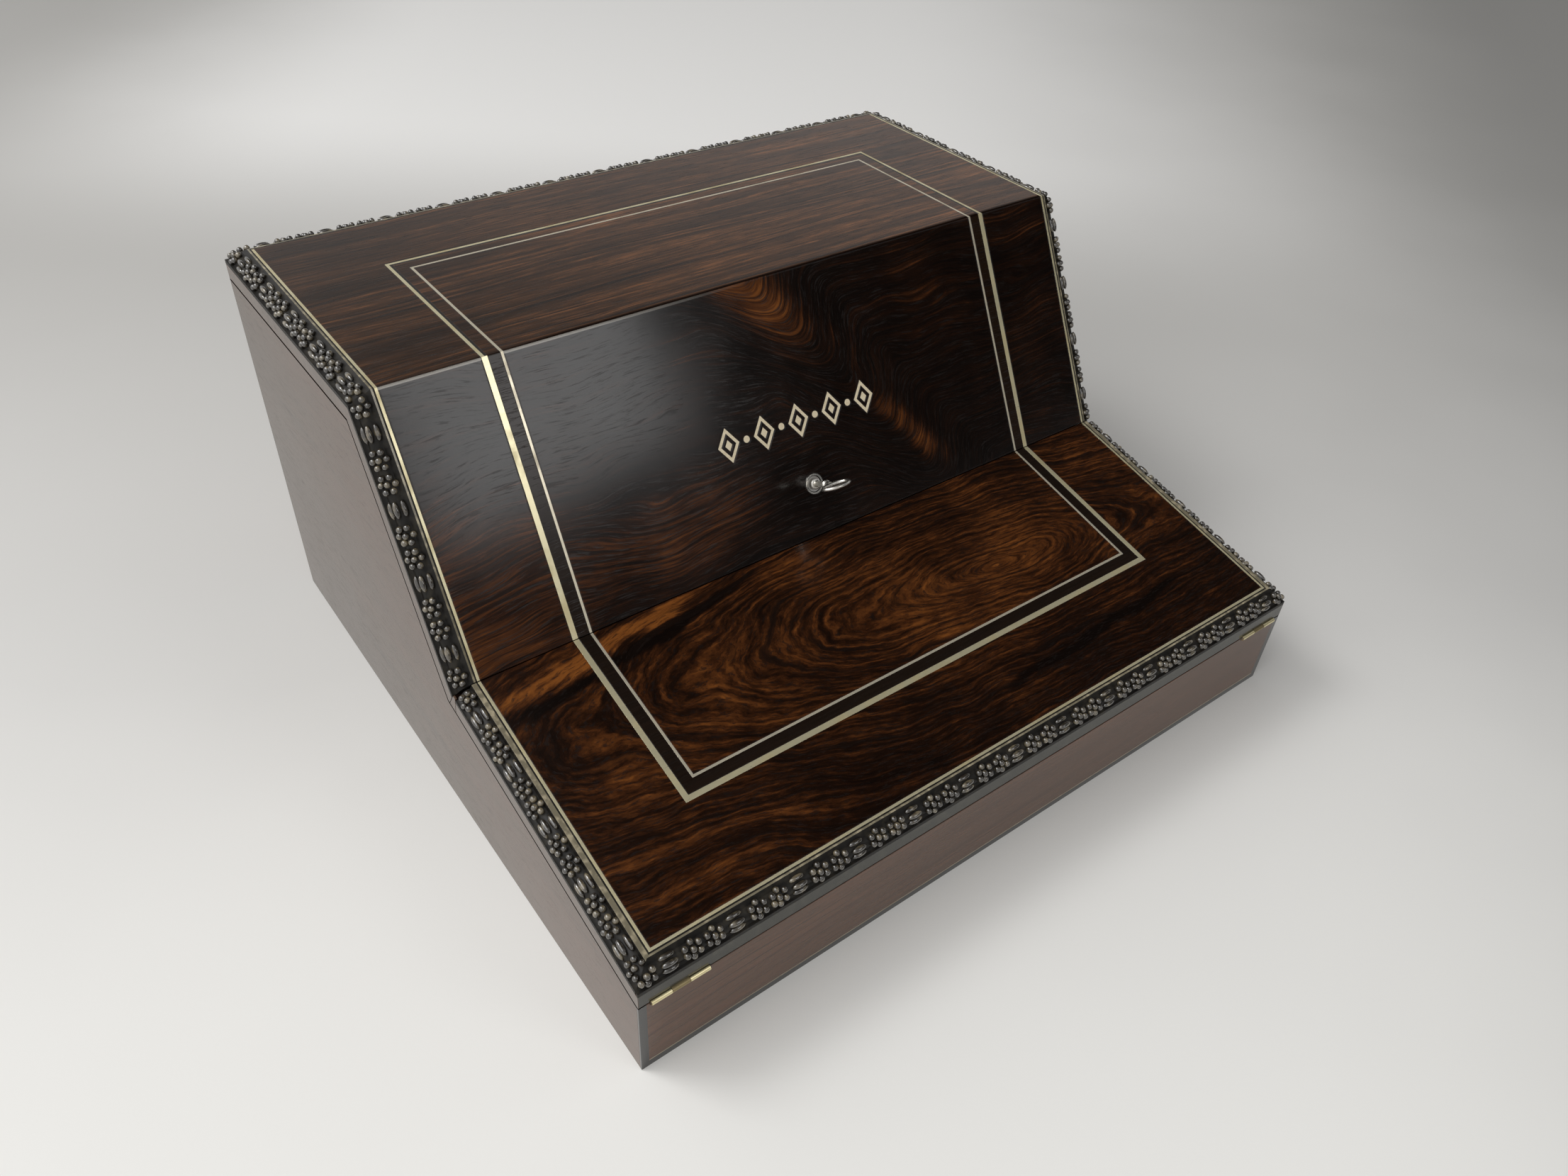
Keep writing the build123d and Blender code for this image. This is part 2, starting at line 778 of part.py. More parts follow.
# The lock case is centred below the keyhole, and its plate is screwed on from inside.
lock_height = lock_up + lock_down
lock_middle = (0, (lock_up - lock_down) / 2)
lock_screw_places = [
    (side * lock_screw_offset, lock_middle[1] + end * lock_height / 3)
    for side in (-1, 1)
    for end in (-1, 1)
]
lock_back_face = Plane(
    origin=lock_plane.offset(-lid_underside).origin, x_dir=(-1, 0, 0), z_dir=-lock_plane.z_dir
)

with BuildPart() as fall_board:
    with BuildSketch(Plane.YZ):
        Polygon(*panel_section("fall", moulding_bed, lid_underside))
    extrude(amount=skin_inside, both=True)
    with BuildSketch(Plane.YZ):
        Polygon(*panel_section("fall", veneer, moulding_bed))
    extrude(amount=field_half_width, both=True)
    with BuildSketch(lock_plane.offset(-lock_front_depth)):
        with Locations(lock_middle):
            Rectangle(2 * lock_half_width, lock_height)
    extrude(amount=-lid_underside, mode=Mode.SUBTRACT)
    with BuildSketch(lock_plane.offset(-(lid_underside - lock_wall))):
        with Locations(lock_middle):
            Rectangle(2 * lock_plate_half_width, lock_height)
    extrude(amount=-lid_underside, mode=Mode.SUBTRACT)
    with BuildSketch(lock_plane):
        Circle(barrel_radius + barrel_relief)
    extrude(amount=-lid_underside, mode=Mode.SUBTRACT)
    with BuildSketch(lock_plane):
        Circle(escutcheon_outer_radius)
    extrude(amount=-escutcheon_depth, mode=Mode.SUBTRACT)
    with BuildSketch(lock_back_face):
        with Locations(*lock_screw_places):
            Circle(screw_radius + pilot_clearance)
    extrude(amount=-(screw_length + pilot_clearance), mode=Mode.SUBTRACT)
    add(bolt_way.part, mode=Mode.SUBTRACT)

ornament_plane = Plane(
    origin=in_space(step(fold, fall_angle, ornament_height_on_fall)),
    x_dir=(1, 0, 0),
    z_dir=direction(fall_angle + 90.0),
)
first_lozenge = -lozenge_pitch * (lozenge_count - 1) / 2
lozenge_places = [(first_lozenge + lozenge_pitch * count, 0) for count in range(lozenge_count)]
dot_places = [(x + lozenge_pitch / 2, 0) for x, _ in lozenge_places[:-1]]


def lozenge(width, height):
    """Corners of a lozenge that stands on its point."""
    return [(-width / 2, 0), (0, -height / 2), (width / 2, 0), (0, height / 2)]


with BuildPart() as fall_ornament:
    with BuildSketch(ornament_plane):
        inner_share = 1 - 2 * lozenge_stroke / lozenge_width
        with Locations(*lozenge_places):
            Polygon(*lozenge(lozenge_width, lozenge_height))
            Polygon(
                *lozenge(lozenge_width * inner_share, lozenge_height * inner_share), mode=Mode.SUBTRACT
            )
            Polygon(*lozenge(lozenge_width * lozenge_heart, lozenge_height * lozenge_heart))
        with Locations(*dot_places):
            Circle(dot_radius)
    extrude(amount=-veneer)

with BuildPart() as top_veneer:
    add(inlay("top", border[0], border[1], end_outer=0))
    add(inlay("top", thin_line[1], None))

with BuildPart() as fall_veneer:
    add(inlay("fall", border[0], border[1]))
    add(inlay("fall", thin_line[1], None))
    add(fall_ornament.part, mode=Mode.SUBTRACT)
    with BuildSketch(lock_plane):
        Circle(escutcheon_outer_radius)
    extrude(amount=-veneer, mode=Mode.SUBTRACT)

lid_dark_band = over_brow(*dark_band)
lid_brass_band = over_brow(*brass_band)
lid_thin_line = over_brow(*thin_line)

with BuildPart() as lid_border_line:
    add(over_brow(*border_line))
    with BuildSketch(frame_planes["top"]):
        Rectangle(2 * (field_half_width - border_line_width), border_line_width, align=from_bottom)
    extrude(amount=-veneer, mode=Mode.SUBTRACT)

with BuildPart() as lid_edge_veneer:
    with BuildSketch(Plane.YZ.offset(skin_inside)):
        Polygon(*panel_section("top", moulding_bed, lid_underside, finish=back_skin))
        Polygon(*panel_section("fall", moulding_bed, lid_underside))
    extrude(amount=veneer)
    mirror(about=Plane.YZ)
    with BuildSketch(Plane.YZ):
        Polygon(*panel_section("top", moulding_bed, lid_underside, start=back_skin))
    extrude(amount=half_width, both=True)
    add(lid_recess, mode=Mode.SUBTRACT)

top_side_mouldings = side_mouldings("top", back_mitre, Keep.TOP)
fall_mouldings = side_mouldings("fall")
back_arris = (back_y, field_height - moulding_drop)
back_fillet = (top_inner[0] + moulding_fillet, field_height)

with BuildPart() as back_moulding:
    with BuildSketch(Plane.YZ):
        with BuildLine():
            Polyline(
                (back_y - moulding_lip, back_arris[1]),
                back_arris,
                (back_y, field_height - moulding_bed),
                (top_inner[0], field_height - moulding_bed),
                top_inner,
                back_fillet,
            )
            TangentArc(
                back_fillet,
                (back_y - moulding_lip, back_arris[1]),
                tangent=(cos(radians(moulding_start_angle)), sin(radians(moulding_start_angle))),
            )
        make_face()
    extrude(amount=half_width)
    split(bisect_by=back_mitre, keep=Keep.BOTTOM)
    mirror(about=Plane.YZ)

lining_half_width = rack_inside - lining_margin / 4
with BuildPart() as lid_lining:
    with BuildSketch(Plane.YZ):
        Polygon(
            *panel_section(
                "top",
                lid_underside,
                lid_underside + lid_lining_thickness,
                finish=((back_inner - lining_margin, 0.0), 90.0),
            )
        )
        Polygon(
            *panel_section(
                "fall",
                lid_underside,
                lid_underside + lid_lining_thickness,
                start=(step(fold, fall_angle, lining_margin), fall_angle + 90.0),
            )
        )
    extrude(amount=lining_half_width, both=True)
    with BuildSketch(lock_plane):
        with Locations(lock_middle):
            Rectangle(
                2 * (lock_plate_half_width + lining_margin / 4), lock_height + lining_margin / 2
            )
    extrude(amount=-2 * panel_thickness, mode=Mode.SUBTRACT)

# Lock
with BuildPart() as lock_case:
    with BuildSketch(lock_plane.offset(-lock_front_depth)):
        with Locations(lock_middle):
            Rectangle(2 * lock_half_width, lock_height)
    extrude(amount=-(lid_underside - lock_wall - lock_front_depth))
    with BuildSketch(lock_plane.offset(-(lock_front_depth + lock_wall))):
        with Locations(lock_middle):
            Rectangle(2 * (lock_half_width - lock_wall), lock_height - 2 * lock_wall)
    extrude(amount=-lid_underside, mode=Mode.SUBTRACT)
    with BuildSketch(lock_plane):
        Circle(barrel_radius + barrel_clearance)
    extrude(amount=-lid_underside, mode=Mode.SUBTRACT)
    with BuildSketch(bolt_plane):
        with Locations((0, bolt_middle)):
            Rectangle(bolt_width + 2 * bolt_clearance, bolt_thickness + 2 * bolt_clearance)
    extrude(amount=-2 * lock_down, mode=Mode.SUBTRACT)

with BuildPart() as lock_plate:
    with BuildSketch(lock_back_face):
        with Locations(lock_middle):
            Rectangle(2 * lock_plate_half_width, lock_height)
    extrude(amount=-lock_wall)
    with BuildSketch(lock_back_face):
        with Locations(*lock_screw_places):
            Circle(screw_radius + pilot_clearance)
    extrude(amount=-lock_wall, mode=Mode.SUBTRACT)
    with Locations(*[lock_back_face.location * Pos(x, y, 0) for x, y in lock_screw_places]):
        Cone(
            bottom_radius=screw_radius + pilot_clearance,
            top_radius=screw_head_radius + pilot_clearance,
            height=screw_head_depth,
            align=(Align.CENTER, Align.CENTER, Align.MAX),
            mode=Mode.SUBTRACT,
        )

lock_screws = wood_screws(lock_back_face, lock_screw_places)

with BuildPart() as escutcheon:
    with BuildSketch(lock_plane.offset(escutcheon_rise)):
        Circle(escutcheon_outer_radius)
        Circle(escutcheon_inner_radius, mode=Mode.SUBTRACT)
    extrude(amount=-(escutcheon_rise + escutcheon_depth))

with BuildPart() as lock_barrel:
    with BuildSketch(lock_plane):
        Circle(barrel_radius)
    extrude(amount=-crank_disc_depth)
    with BuildSketch(lock_plane.offset(-crank_disc_depth)):
        Circle(crank_disc_radius)
    extrude(amount=-crank_disc_thickness)
    with BuildSketch(lock_plane.offset(-crank_disc_depth)):
        with Locations((0, crank_throw)):
            Circle(crank_pin_radius)
    extrude(amount=-(bolt_depth + bolt_thickness - crank_disc_depth))
    with BuildSketch(lock_plane):
        Circle(keyway_radius)
        Rectangle(barrel_radius + barrel_clearance, keyway_slot, align=(Align.MIN, Align.CENTER))
    extrude(amount=-keyway_depth, mode=Mode.SUBTRACT)

with BuildPart() as bolt:
    with BuildSketch(lock_plane.offset(-bolt_depth)):
        with Locations((0, bolt_head)):
            Rectangle(bolt_width, bolt_head + bolt_tip, align=(Align.CENTER, Align.MAX))
        with Locations((0, crank_throw)):
            Rectangle(
                2 * (crank_throw + crank_pin_radius + bolt_clearance),
                2 * (crank_pin_radius + bolt_slot_slack),
                mode=Mode.SUBTRACT,
            )
    extrude(amount=-bolt_thickness)

with BuildPart() as key:
    with BuildSketch(lock_plane.offset(-key_in_depth)):
        Circle(key_shank_radius)
    extrude(amount=key_in_depth + key_out_length)
    with BuildSketch(lock_plane.offset(key_collar_start)):
        Circle(key_collar_radius)
    extrude(amount=key_collar_length)
    with BuildSketch(lock_plane.offset(-key_in_depth)):
        Rectangle(key_bit_reach, key_bit_thickness, align=(Align.MIN, Align.CENTER))
    extrude(amount=key_bit_length)
    with BuildSketch(bolt_plane):
        with Locations((0, -bow_centre_out)):
            Ellipse(bow_half_width, bow_half_length)
            Ellipse(bow_half_width - bow_metal, bow_half_length - bow_metal, mode=Mode.SUBTRACT)
    extrude(amount=bow_thickness / 2, both=True)

pieces = {
    "bottom_board": bottom_board.part,
    "front_board": front_board.part,
    "back_board": back_board.part,
    "left_side_board": left_side_board.part,
    "right_side_board": right_side_board.part,
    "side_veneers": side_veneers.part,
    "front_veneer": front_veneer.part,
    "corner_strips": corner_strips.part,
    "base_edging": base_edging.part,
    "base_line": base_line.part,
    "cross_rail": cross_rail.part,
    "striker_plate": striker_plate.part,
    "striker_screws": striker_screws,
    "divider_racks": divider_racks.part,
    "front_divider": front_divider,
    "middle_divider": middle_divider,
    "rear_divider": rear_divider,
    "floor_linings": floor_linings.part,
    "front_hinge_case_leaves": front_case_leaves,
    "front_hinge_flap_leaves": front_flap_leaves,
    "back_hinge_case_leaves": back_case_leaves,
    "back_hinge_lid_leaves": back_lid_leaves,
    "hinge_pins": hinge_pins.part,
    "case_hinge_screws": case_hinge_screws.part,
    "flap_hinge_screws": flap_hinge_screws,
    "lid_hinge_screws": lid_hinge_screws,
    "slope_board": slope_board.part,
    "slope_veneer": slope_veneer.part,
    "slope_band": slope_band,
    "flap_brass_band": flap_brass_band,
    "flap_thin_line": flap_thin_line,
    "flap_border_line": flap_border_line,
    "flap_edge_veneer": flap_edge_veneer.part,
    "slope_side_mouldings": slope_side_mouldings,
    "front_moulding": front_moulding.part,
    "writing_leather": writing_leather.part,
    "top_board": top_board.part,
    "fall_board": fall_board.part,
    "top_veneer": top_veneer.part,
    "fall_veneer": fall_veneer.part,
    "fall_ornament": fall_ornament.part,
    "lid_dark_band": lid_dark_band,
    "lid_brass_band": lid_brass_band,
    "lid_thin_line": lid_thin_line,
    "lid_border_line": lid_border_line.part,
    "lid_edge_veneer": lid_edge_veneer.part,
    "top_side_mouldings": top_side_mouldings,
    "fall_mouldings": fall_mouldings,
    "back_moulding": back_moulding.part,
    "lid_lining": lid_lining.part,
    "lock_case": lock_case.part,
    "lock_plate": lock_plate.part,
    "lock_screws": lock_screws,
    "escutcheon": escutcheon.part,
    "lock_barrel": lock_barrel.part,
    "bolt": bolt.part,
    "key": key.part,
}

for name, piece in pieces.items():
    piece.label = name
    export_step(piece, f"parts/{name}.step")
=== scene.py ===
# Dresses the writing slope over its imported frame: carved mouldings, key and finishes.
# Sizes are in millimetres here, and go to metres where Blender objects are made.
import random
from math import cos, pi, radians, sin

import bpy
from mathutils import Matrix, Vector


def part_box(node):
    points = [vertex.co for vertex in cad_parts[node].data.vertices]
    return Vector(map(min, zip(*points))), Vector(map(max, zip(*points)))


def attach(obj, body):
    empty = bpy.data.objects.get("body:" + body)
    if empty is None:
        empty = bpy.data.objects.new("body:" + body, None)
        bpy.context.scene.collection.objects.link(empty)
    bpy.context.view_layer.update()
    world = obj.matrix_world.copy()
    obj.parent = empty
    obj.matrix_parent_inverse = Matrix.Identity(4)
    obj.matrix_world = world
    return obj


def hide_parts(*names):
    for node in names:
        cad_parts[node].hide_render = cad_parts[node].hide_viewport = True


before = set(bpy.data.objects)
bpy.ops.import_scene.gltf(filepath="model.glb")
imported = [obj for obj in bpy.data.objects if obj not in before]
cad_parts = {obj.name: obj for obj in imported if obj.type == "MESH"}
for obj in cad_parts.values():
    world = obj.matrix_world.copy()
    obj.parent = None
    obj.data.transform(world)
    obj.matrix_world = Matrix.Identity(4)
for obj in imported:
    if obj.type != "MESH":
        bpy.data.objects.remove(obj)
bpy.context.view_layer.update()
scene = bpy.context.scene
millimetre = 0.001
dice = random.Random(7)

# The three panels of the box
half_width = 165.0
front_y = -150.0
back_y = 150.0
field_height = 169.6
front_seam_height = 37.5
fold_from_front = 119.5
slope_angle = 12.0
fall_angle = 61.3
foot_face_angle = 122.0
panel_thickness = 13.5
half_gap = 0.2
reach = 1000.0

# Mouldings
moulding_width = 8.65
front_moulding_width = 7.0
moulding_bed = 7.0
moulding_drop = 6.0
moulding_fillet = 1.5
moulding_lip = 0.15
arc_start_tilt = 20.0
dark_fillet = 0.6
slope_fillet = 2.4
narrow_fillet = 1.3
rim_depth = 5.4
rim_width = 0.95

# Carving: groups of two clusters of berries, and reeds in the hollows between the groups.
# A row of berries is given by the angles at which they stand on the section's arc.
carving_repeat = 26.0
cluster_offset = 4.2
row_pitch = 2.5
berry_radius = 1.25
row_of_three = (88.0, 49.0, 10.0)
row_of_two = (68.5, 29.5)
hollow_depth = 1.8
ground_angles = range(96, -4, -12)
reed_radius = 1.05
reed_half_length = 3.1
reed_sinkings = (0.55, 0.1, 0.5)
shortest_reed = 2.0
turn_unevenness = 2.0
place_unevenness = 0.15
size_unevenness = (0.92, 1.03)
least_part_of_berry = 0.8
fillet_face = 1
fillet_finish = 1
hollow_finish = 2

# Key
keyhole_up_fall = 21.1
shank_radius = 1.4
shank_inside = 7.9
shank_outside = 11.5
bow_centre_out = 15.3
bow_half_width = 7.0
bow_half_length = 4.9
bow_metal = 1.9
bit_reach = 2.7
bit_thickness = 1.0
bit_length = 3.0
ward_start = 1.1
ward_width = 0.7
ward_depth = 0.9

# Writing leather
gilt_inset = 6.0
gilt_second_inset = 8.4
gilt_width = 0.8
gilt_second_width = 0.35

# Inlaid lines, painted shade lines, a painted highlight and the black under the fold, with the breadth
# of their soft edges
brass_line_inset = 37.9
brass_line_on_top = 1.25
soft_line_edge = 0.08
soft_painted_edge = 0.3
seam_shade_width = 0.35
full_brow_shade = 0.4
brow_shade_reach = 3.0
fine_end = (-85.0, -125.0)
finer_by = 1.5
fold_black_reach = 12.0
fold_black_depth = 9.0
fold_black_edge = 1.0
brow_highlight_depth = 0.7
brow_highlight_fades = (0.0, -110.0)

# Picture
camera_place = (-0.2577, -0.3231, 0.3769)
camera_right = (0.80090672, -0.59691124, 0.04738556)
camera_up = (0.35912425, 0.54216131, 0.75966498)
camera_back = (-0.47914319, -0.59140349, 0.64858594)
camera_lens = 27.2
sensor_width = 36.0


def step(point, angle, distance):
    """The point at a distance from another in the YZ plane, along a line at an angle."""
    return (point[0] + distance * cos(radians(angle)), point[1] + distance * sin(radians(angle)))


def meet(point_a, angle_a, point_b, angle_b):
    """The point where two lines in the YZ plane cross."""
    ay, az = cos(radians(angle_a)), sin(radians(angle_a))
    by, bz = cos(radians(angle_b)), sin(radians(angle_b))
    gap_y, gap_z = point_b[0] - point_a[0], point_b[1] - point_a[1]
    along = (gap_y * bz - gap_z * by) / (ay * bz - az * by)
    return (point_a[0] + along * ay, point_a[1] + along * az)


def direction(angle):
    """The unit vector in the YZ plane at an angle to the table."""
    return Vector((0, cos(radians(angle)), sin(radians(angle))))


def in_space(point, x=0.0):
    """A point of the YZ plane, at a distance to the right of the middle."""
    return Vector((x, point[0], point[1]))


field_front = (front_y, front_seam_height + panel_thickness / cos(radians(slope_angle)))
fold = step(field_front, slope_angle, fold_from_front / cos(radians(slope_angle)))
brow = meet(fold, fall_angle, (0.0, field_height), 0.0)
field_half_width = half_width - moulding_width
slope_inner = step(field_front, slope_angle, front_moulding_width)
top_inner = (back_y - moulding_width, field_height)
keyhole = step(fold, fall_angle, keyhole_up_fall)


# Solids are gathered as points in millimetres and faces, then made into one mesh
class Solids:
    def __init__(self):
        self.points = []
        self.faces = []
        self.finish_numbers = []

    def add(self, points, faces, finish_numbers=None):
        """Adds one closed solid, whose faces may have other finishes than the first."""
        start = len(self.points)
        self.points += points
        self.faces += [[start + corner for corner in face] for face in faces]
        self.finish_numbers += finish_numbers or [0] * len(faces)

    def mirrored(self):
        """Adds the same solids on the other side of the box."""
        twin = Solids()
        twin.add(self.points, self.faces, self.finish_numbers)
        twin.add(
            [Vector((-point.x, point.y, point.z)) for point in self.points],
            [face[::-1] for face in self.faces],
            self.finish_numbers,
        )
        return twin

    def make(self, name, *materials, smooth_angle=40.0):
        """Makes the mesh object, smooth but for its sharp edges."""
        mesh = bpy.data.meshes.new(name)
        mesh.from_pydata([point * millimetre for point in self.points], [], self.faces)
        for material in materials:
            mesh.materials.append(material)
        for polygon, number in zip(mesh.polygons, self.finish_numbers):
            polygon.material_index = number
        mesh.shade_smooth()
        mesh.set_sharp_from_angle(angle=radians(smooth_angle))
        made = bpy.data.objects.new(name, mesh)
        scene.collection.objects.link(made)
        return made


def ring_faces(rings, count, closed_ends=True):
    """Faces between rings of points, with the two end rings closed."""
    faces = []
    for ring in range(rings - 1):
        for corner in range(count):
            after = (corner + 1) % count
            low, high = ring * count, (ring + 1) * count
            faces.append([low + corner, low + after, high + after, high + corner])
    if closed_ends:
        faces.append(list(range(count))[::-1])
        faces.append(list(range((rings - 1) * count, rings * count)))
    return faces


def ball(segments, rings):
    """Points and faces of a unit ball with its poles on Z."""
    points = [Vector((0, 0, 1))]
    for ring in range(1, rings):
        polar = pi * ring / rings
        for segment in range(segments):
            turn = 2 * pi * segment / segments
            points.append(Vector((sin(polar) * cos(turn), sin(polar) * sin(turn), cos(polar))))
    points.append(Vector((0, 0, -1)))
    last = len(points) - 1
    faces = []
    for segment in range(segments):
        after = (segment + 1) % segments
        faces.append([0, 1 + segment, 1 + after])
        for ring in range(rings - 2):
            upper, lower = 1 + ring * segments, 1 + (ring + 1) * segments
            faces.append([upper + segment, lower + segment, lower + after, upper + after])
        bottom = 1 + (rings - 2) * segments
        faces.append([bottom + segment, last, bottom + after])
    return points, faces


ball_points, ball_faces = ball(12, 8)


def knob(solids, centre, radial, along, heights):
    """Adds a ball stretched to its radial, sideways and lengthwise radii."""
    sideways = along.cross(radial)
    out, side, length = heights
    points = [
        centre + radial * (out * point.z) + sideways * (side * point.y) + along * (length * point.x)
        for point in ball_points
    ]
    solids.add(points, ball_faces)


class Run:
    """A length of moulding between two end planes, with its section's arc."""

    def __init__(self, origin, out, up, along, start, finish, foot, faces, fillet, limit=reach):
        self.origin = origin
        self.out = out
        self.up = up
        self.along = along
        self.ends = (start, finish)
        self.foot = foot
        self.faces = faces
        self.fillet = fillet
        self.limit = limit
        chord = Vector((foot - moulding_fillet, -moulding_drop))
        inward = Vector((sin(radians(arc_start_tilt)), -cos(radians(arc_start_tilt))))
        self.radius = chord.length_squared / (2 * chord.dot(inward))
        self.centre = Vector((moulding_fillet, 0)) + inward * self.radius

    def at(self, across, height, along):
        """A point of the run in space."""
        return self.origin + self.out * across + self.up * height + self.along * along

    def cut(self, end, across, height):
        """How far along the run a line of its section meets an end plane."""
        point, normal, _ = self.ends[end]
        place = (point - self.at(across, height, 0)).dot(normal) / self.along.dot(normal)
        return max(-self.limit, min(self.limit, place))

    def on_arc(self, angle, radius):
        """The place in the section at an angle and a distance from the arc's centre."""
        return self.centre + radius * Vector((cos(radians(angle)), sin(radians(angle))))

    def ground(self):
        """Corners of the section below the carving."""
        rim_face, bed_face = self.faces
        ground_radius = self.radius - hollow_depth
        arc = [self.on_arc(angle, ground_radius) for angle in ground_angles]
        corners = [(0, 0), (dark_fillet, 0), (self.fillet, 0)] + [tuple(point) for point in arc]
        corners += [
            (self.foot - rim_width, -rim_depth),
            (rim_face, -rim_depth),
            (bed_face, -moulding_bed),
            (0, -moulding_bed),
        ]
        return corners

    def carve(self, solids):
        """Adds the moulding's ground, and its berries and reeds."""
        corners = self.ground()
        points = []
        for end in (0, 1):
            points += [self.at(a, h, self.cut(end, a, h)) for a, h in corners]
        faces = ring_faces(2, len(corners))
        numbers = [hollow_finish] * len(faces)
        numbers[fillet_face] = fillet_finish
        solids.add(points, faces, numbers)
        middle = self.on_arc(45, self.radius)
        first, last = self.cut(0, *middle), self.cut(1, *middle)
        repeats = max(1, round((last - first) / carving_repeat))
        repeat = (last - first) / repeats
        for count in range(repeats + 1):
            place = first + count * repeat
            for offset in (-cluster_offset, cluster_offset):
                self.berries(solids, place + offset - row_pitch, row_of_two)
                self.berries(solids, place + offset, row_of_three)
                self.berries(solids, place + offset + row_pitch, row_of_two)
            if count < repeats:
                self.reeds(solids, place + repeat / 2)

    def fits(self, spot, low, high):
        """The part of a stretch along the run that is clear of both end planes."""
        start = self.cut(0, *spot) + self.ends[0][2]
        finish = self.cut(1, *spot) - self.ends[1][2]
        return max(low, start), min(high, finish)

    def berries(self, solids, place, angles):
        """Adds a row of berries across the run."""
        for angle in angles:
            leaning = angle + dice.uniform(-turn_unevenness, turn_unevenness)
            size = berry_radius * dice.uniform(*size_unevenness)
            spot = self.on_arc(leaning, self.radius - size)
            shifted = place + dice.uniform(-place_unevenness, place_unevenness)
            low, high = self.fits(spot, shifted - size, shifted + size)
            if high - low > least_part_of_berry * 2 * size:
                self.lump(solids, spot, leaning, low, high, size)

    def reeds(self, solids, place):
        """Adds the reeds along the hollow between two groups, the middle one highest."""
        for angle, sinking in zip(row_of_three, reed_sinkings):
            spot = self.on_arc(angle, self.radius - reed_radius - sinking)
            low, high = self.fits(spot, place - reed_half_length, place + reed_half_length)
            if high - low > shortest_reed:
                self.lump(solids, spot, angle, low, high, reed_radius)

    def lump(self, solids, spot, angle, low, high, size):
        """Adds a berry or a reed between two places along the run."""
        radial = self.out * cos(radians(angle)) + self.up * sin(radians(angle))
        centre = self.at(*spot, (low + high) / 2)
        knob(solids, centre, radial, self.along, (size, size, (high - low) / 2))


# End planes: a point, a normal along the run, and how far the carving keeps off it
joined = 0.45
parted = 0.15


def panel_end(point, angle, clearance):
    """The end plane of a side moulding, square to the YZ plane."""
    return (in_space(point), direction(angle - 90.0), clearance)


def mitre(inner, outer, up, side):
    """The end plane of a mitre at a corner of a panel."""
    across = in_space(outer, side * half_width) - in_space(inner, side * field_half_width)
    return (in_space(inner, side * field_half_width), across.cross(up), joined)


slope_up = direction(slope_angle + 90.0)
fall_up = direction(fall_angle + 90.0)
top_up = direction(90.0)
slope_end = step(fold, slope_angle, -half_gap)
fall_start = step(fold, slope_angle, half_gap)
brow_angle = fall_angle / 2 + 90.0
side_foot = half_width - moulding_lip - field_half_width
side_faces = (moulding_width, moulding_width)
to_right = Vector((1, 0, 0))


def front_reach(depth):
    """How far the front face is from the slope's inner edge, at a depth below the field."""
    back = slope_inner[0] - front_y + depth * sin(radians(slope_angle))
    return back / cos(radians(slope_angle))


front_foot = front_reach(moulding_drop) - moulding_lip / cos(radians(slope_angle))
front_faces = (front_reach(rim_depth), front_reach(moulding_bed))


def side_run(origin, angle, up, start, finish, fillet=narrow_fillet):
    """The right-hand moulding of a panel."""
    edge = in_space(origin, field_half_width)
    return Run(edge, to_right, up, direction(angle), start, finish, side_foot, side_faces, fillet)


slope_right = side_run(
    slope_inner,
    slope_angle,
    slope_up,
    mitre(slope_inner, field_front, slope_up, 1),
    panel_end(slope_end, slope_angle + 90.0, parted),
    slope_fillet,
)
fall_right = side_run(
    fold,
    fall_angle,
    fall_up,
    panel_end(fall_start, foot_face_angle, parted),
    panel_end(brow, brow_angle, joined),
)
top_right = side_run(
    brow,
    0.0,
    top_up,
    panel_end(brow, brow_angle, joined),
    mitre(top_inner, (back_y, field_height), top_up, 1),
)
front_run = Run(
    in_space(slope_inner),
    direction(slope_angle + 180.0),
    slope_up,
    to_right,
    mitre(slope_inner, field_front, slope_up, -1),
    mitre(slope_inner, field_front, slope_up, 1),
    front_foot,
    front_faces,
    narrow_fillet,
    half_width,
)
back_run = Run(
    in_space(top_inner),
    direction(0.0),
    top_up,
    to_right,
    mitre(top_inner, (back_y, field_height), top_up, -1),
    mitre(top_inner, (back_y, field_height), top_up, 1),
    side_foot,
    side_faces,
    narrow_fillet,
    half_width,
)


def carved(run, both_sides):
    """The solids of a moulding, on both sides of the box where it is a side one."""
    solids = Solids()
    run.carve(solids)
    return solids.mirrored() if both_sides else solids


# Shader sums are written as plain expressions on values that vary over a surface
class Varying:
    def __init__(self, recipe, socket):
        self.recipe = recipe
        self.socket = socket

    def __add__(self, other):
        return self.recipe.maths("ADD", self, other)

    def __radd__(self, other):
        return self.recipe.maths("ADD", other, self)

    def __sub__(self, other):
        return self.recipe.maths("SUBTRACT", self, other)

    def __rsub__(self, other):
        return self.recipe.maths("SUBTRACT", other, self)

    def __mul__(self, other):
        return self.recipe.maths("MULTIPLY", self, other)

    def __rmul__(self, other):
        return self.recipe.maths("MULTIPLY", other, self)

    def __truediv__(self, other):
        return self.recipe.maths("DIVIDE", self, other)

    def __abs__(self):
        return self.recipe.maths("ABSOLUTE", self)


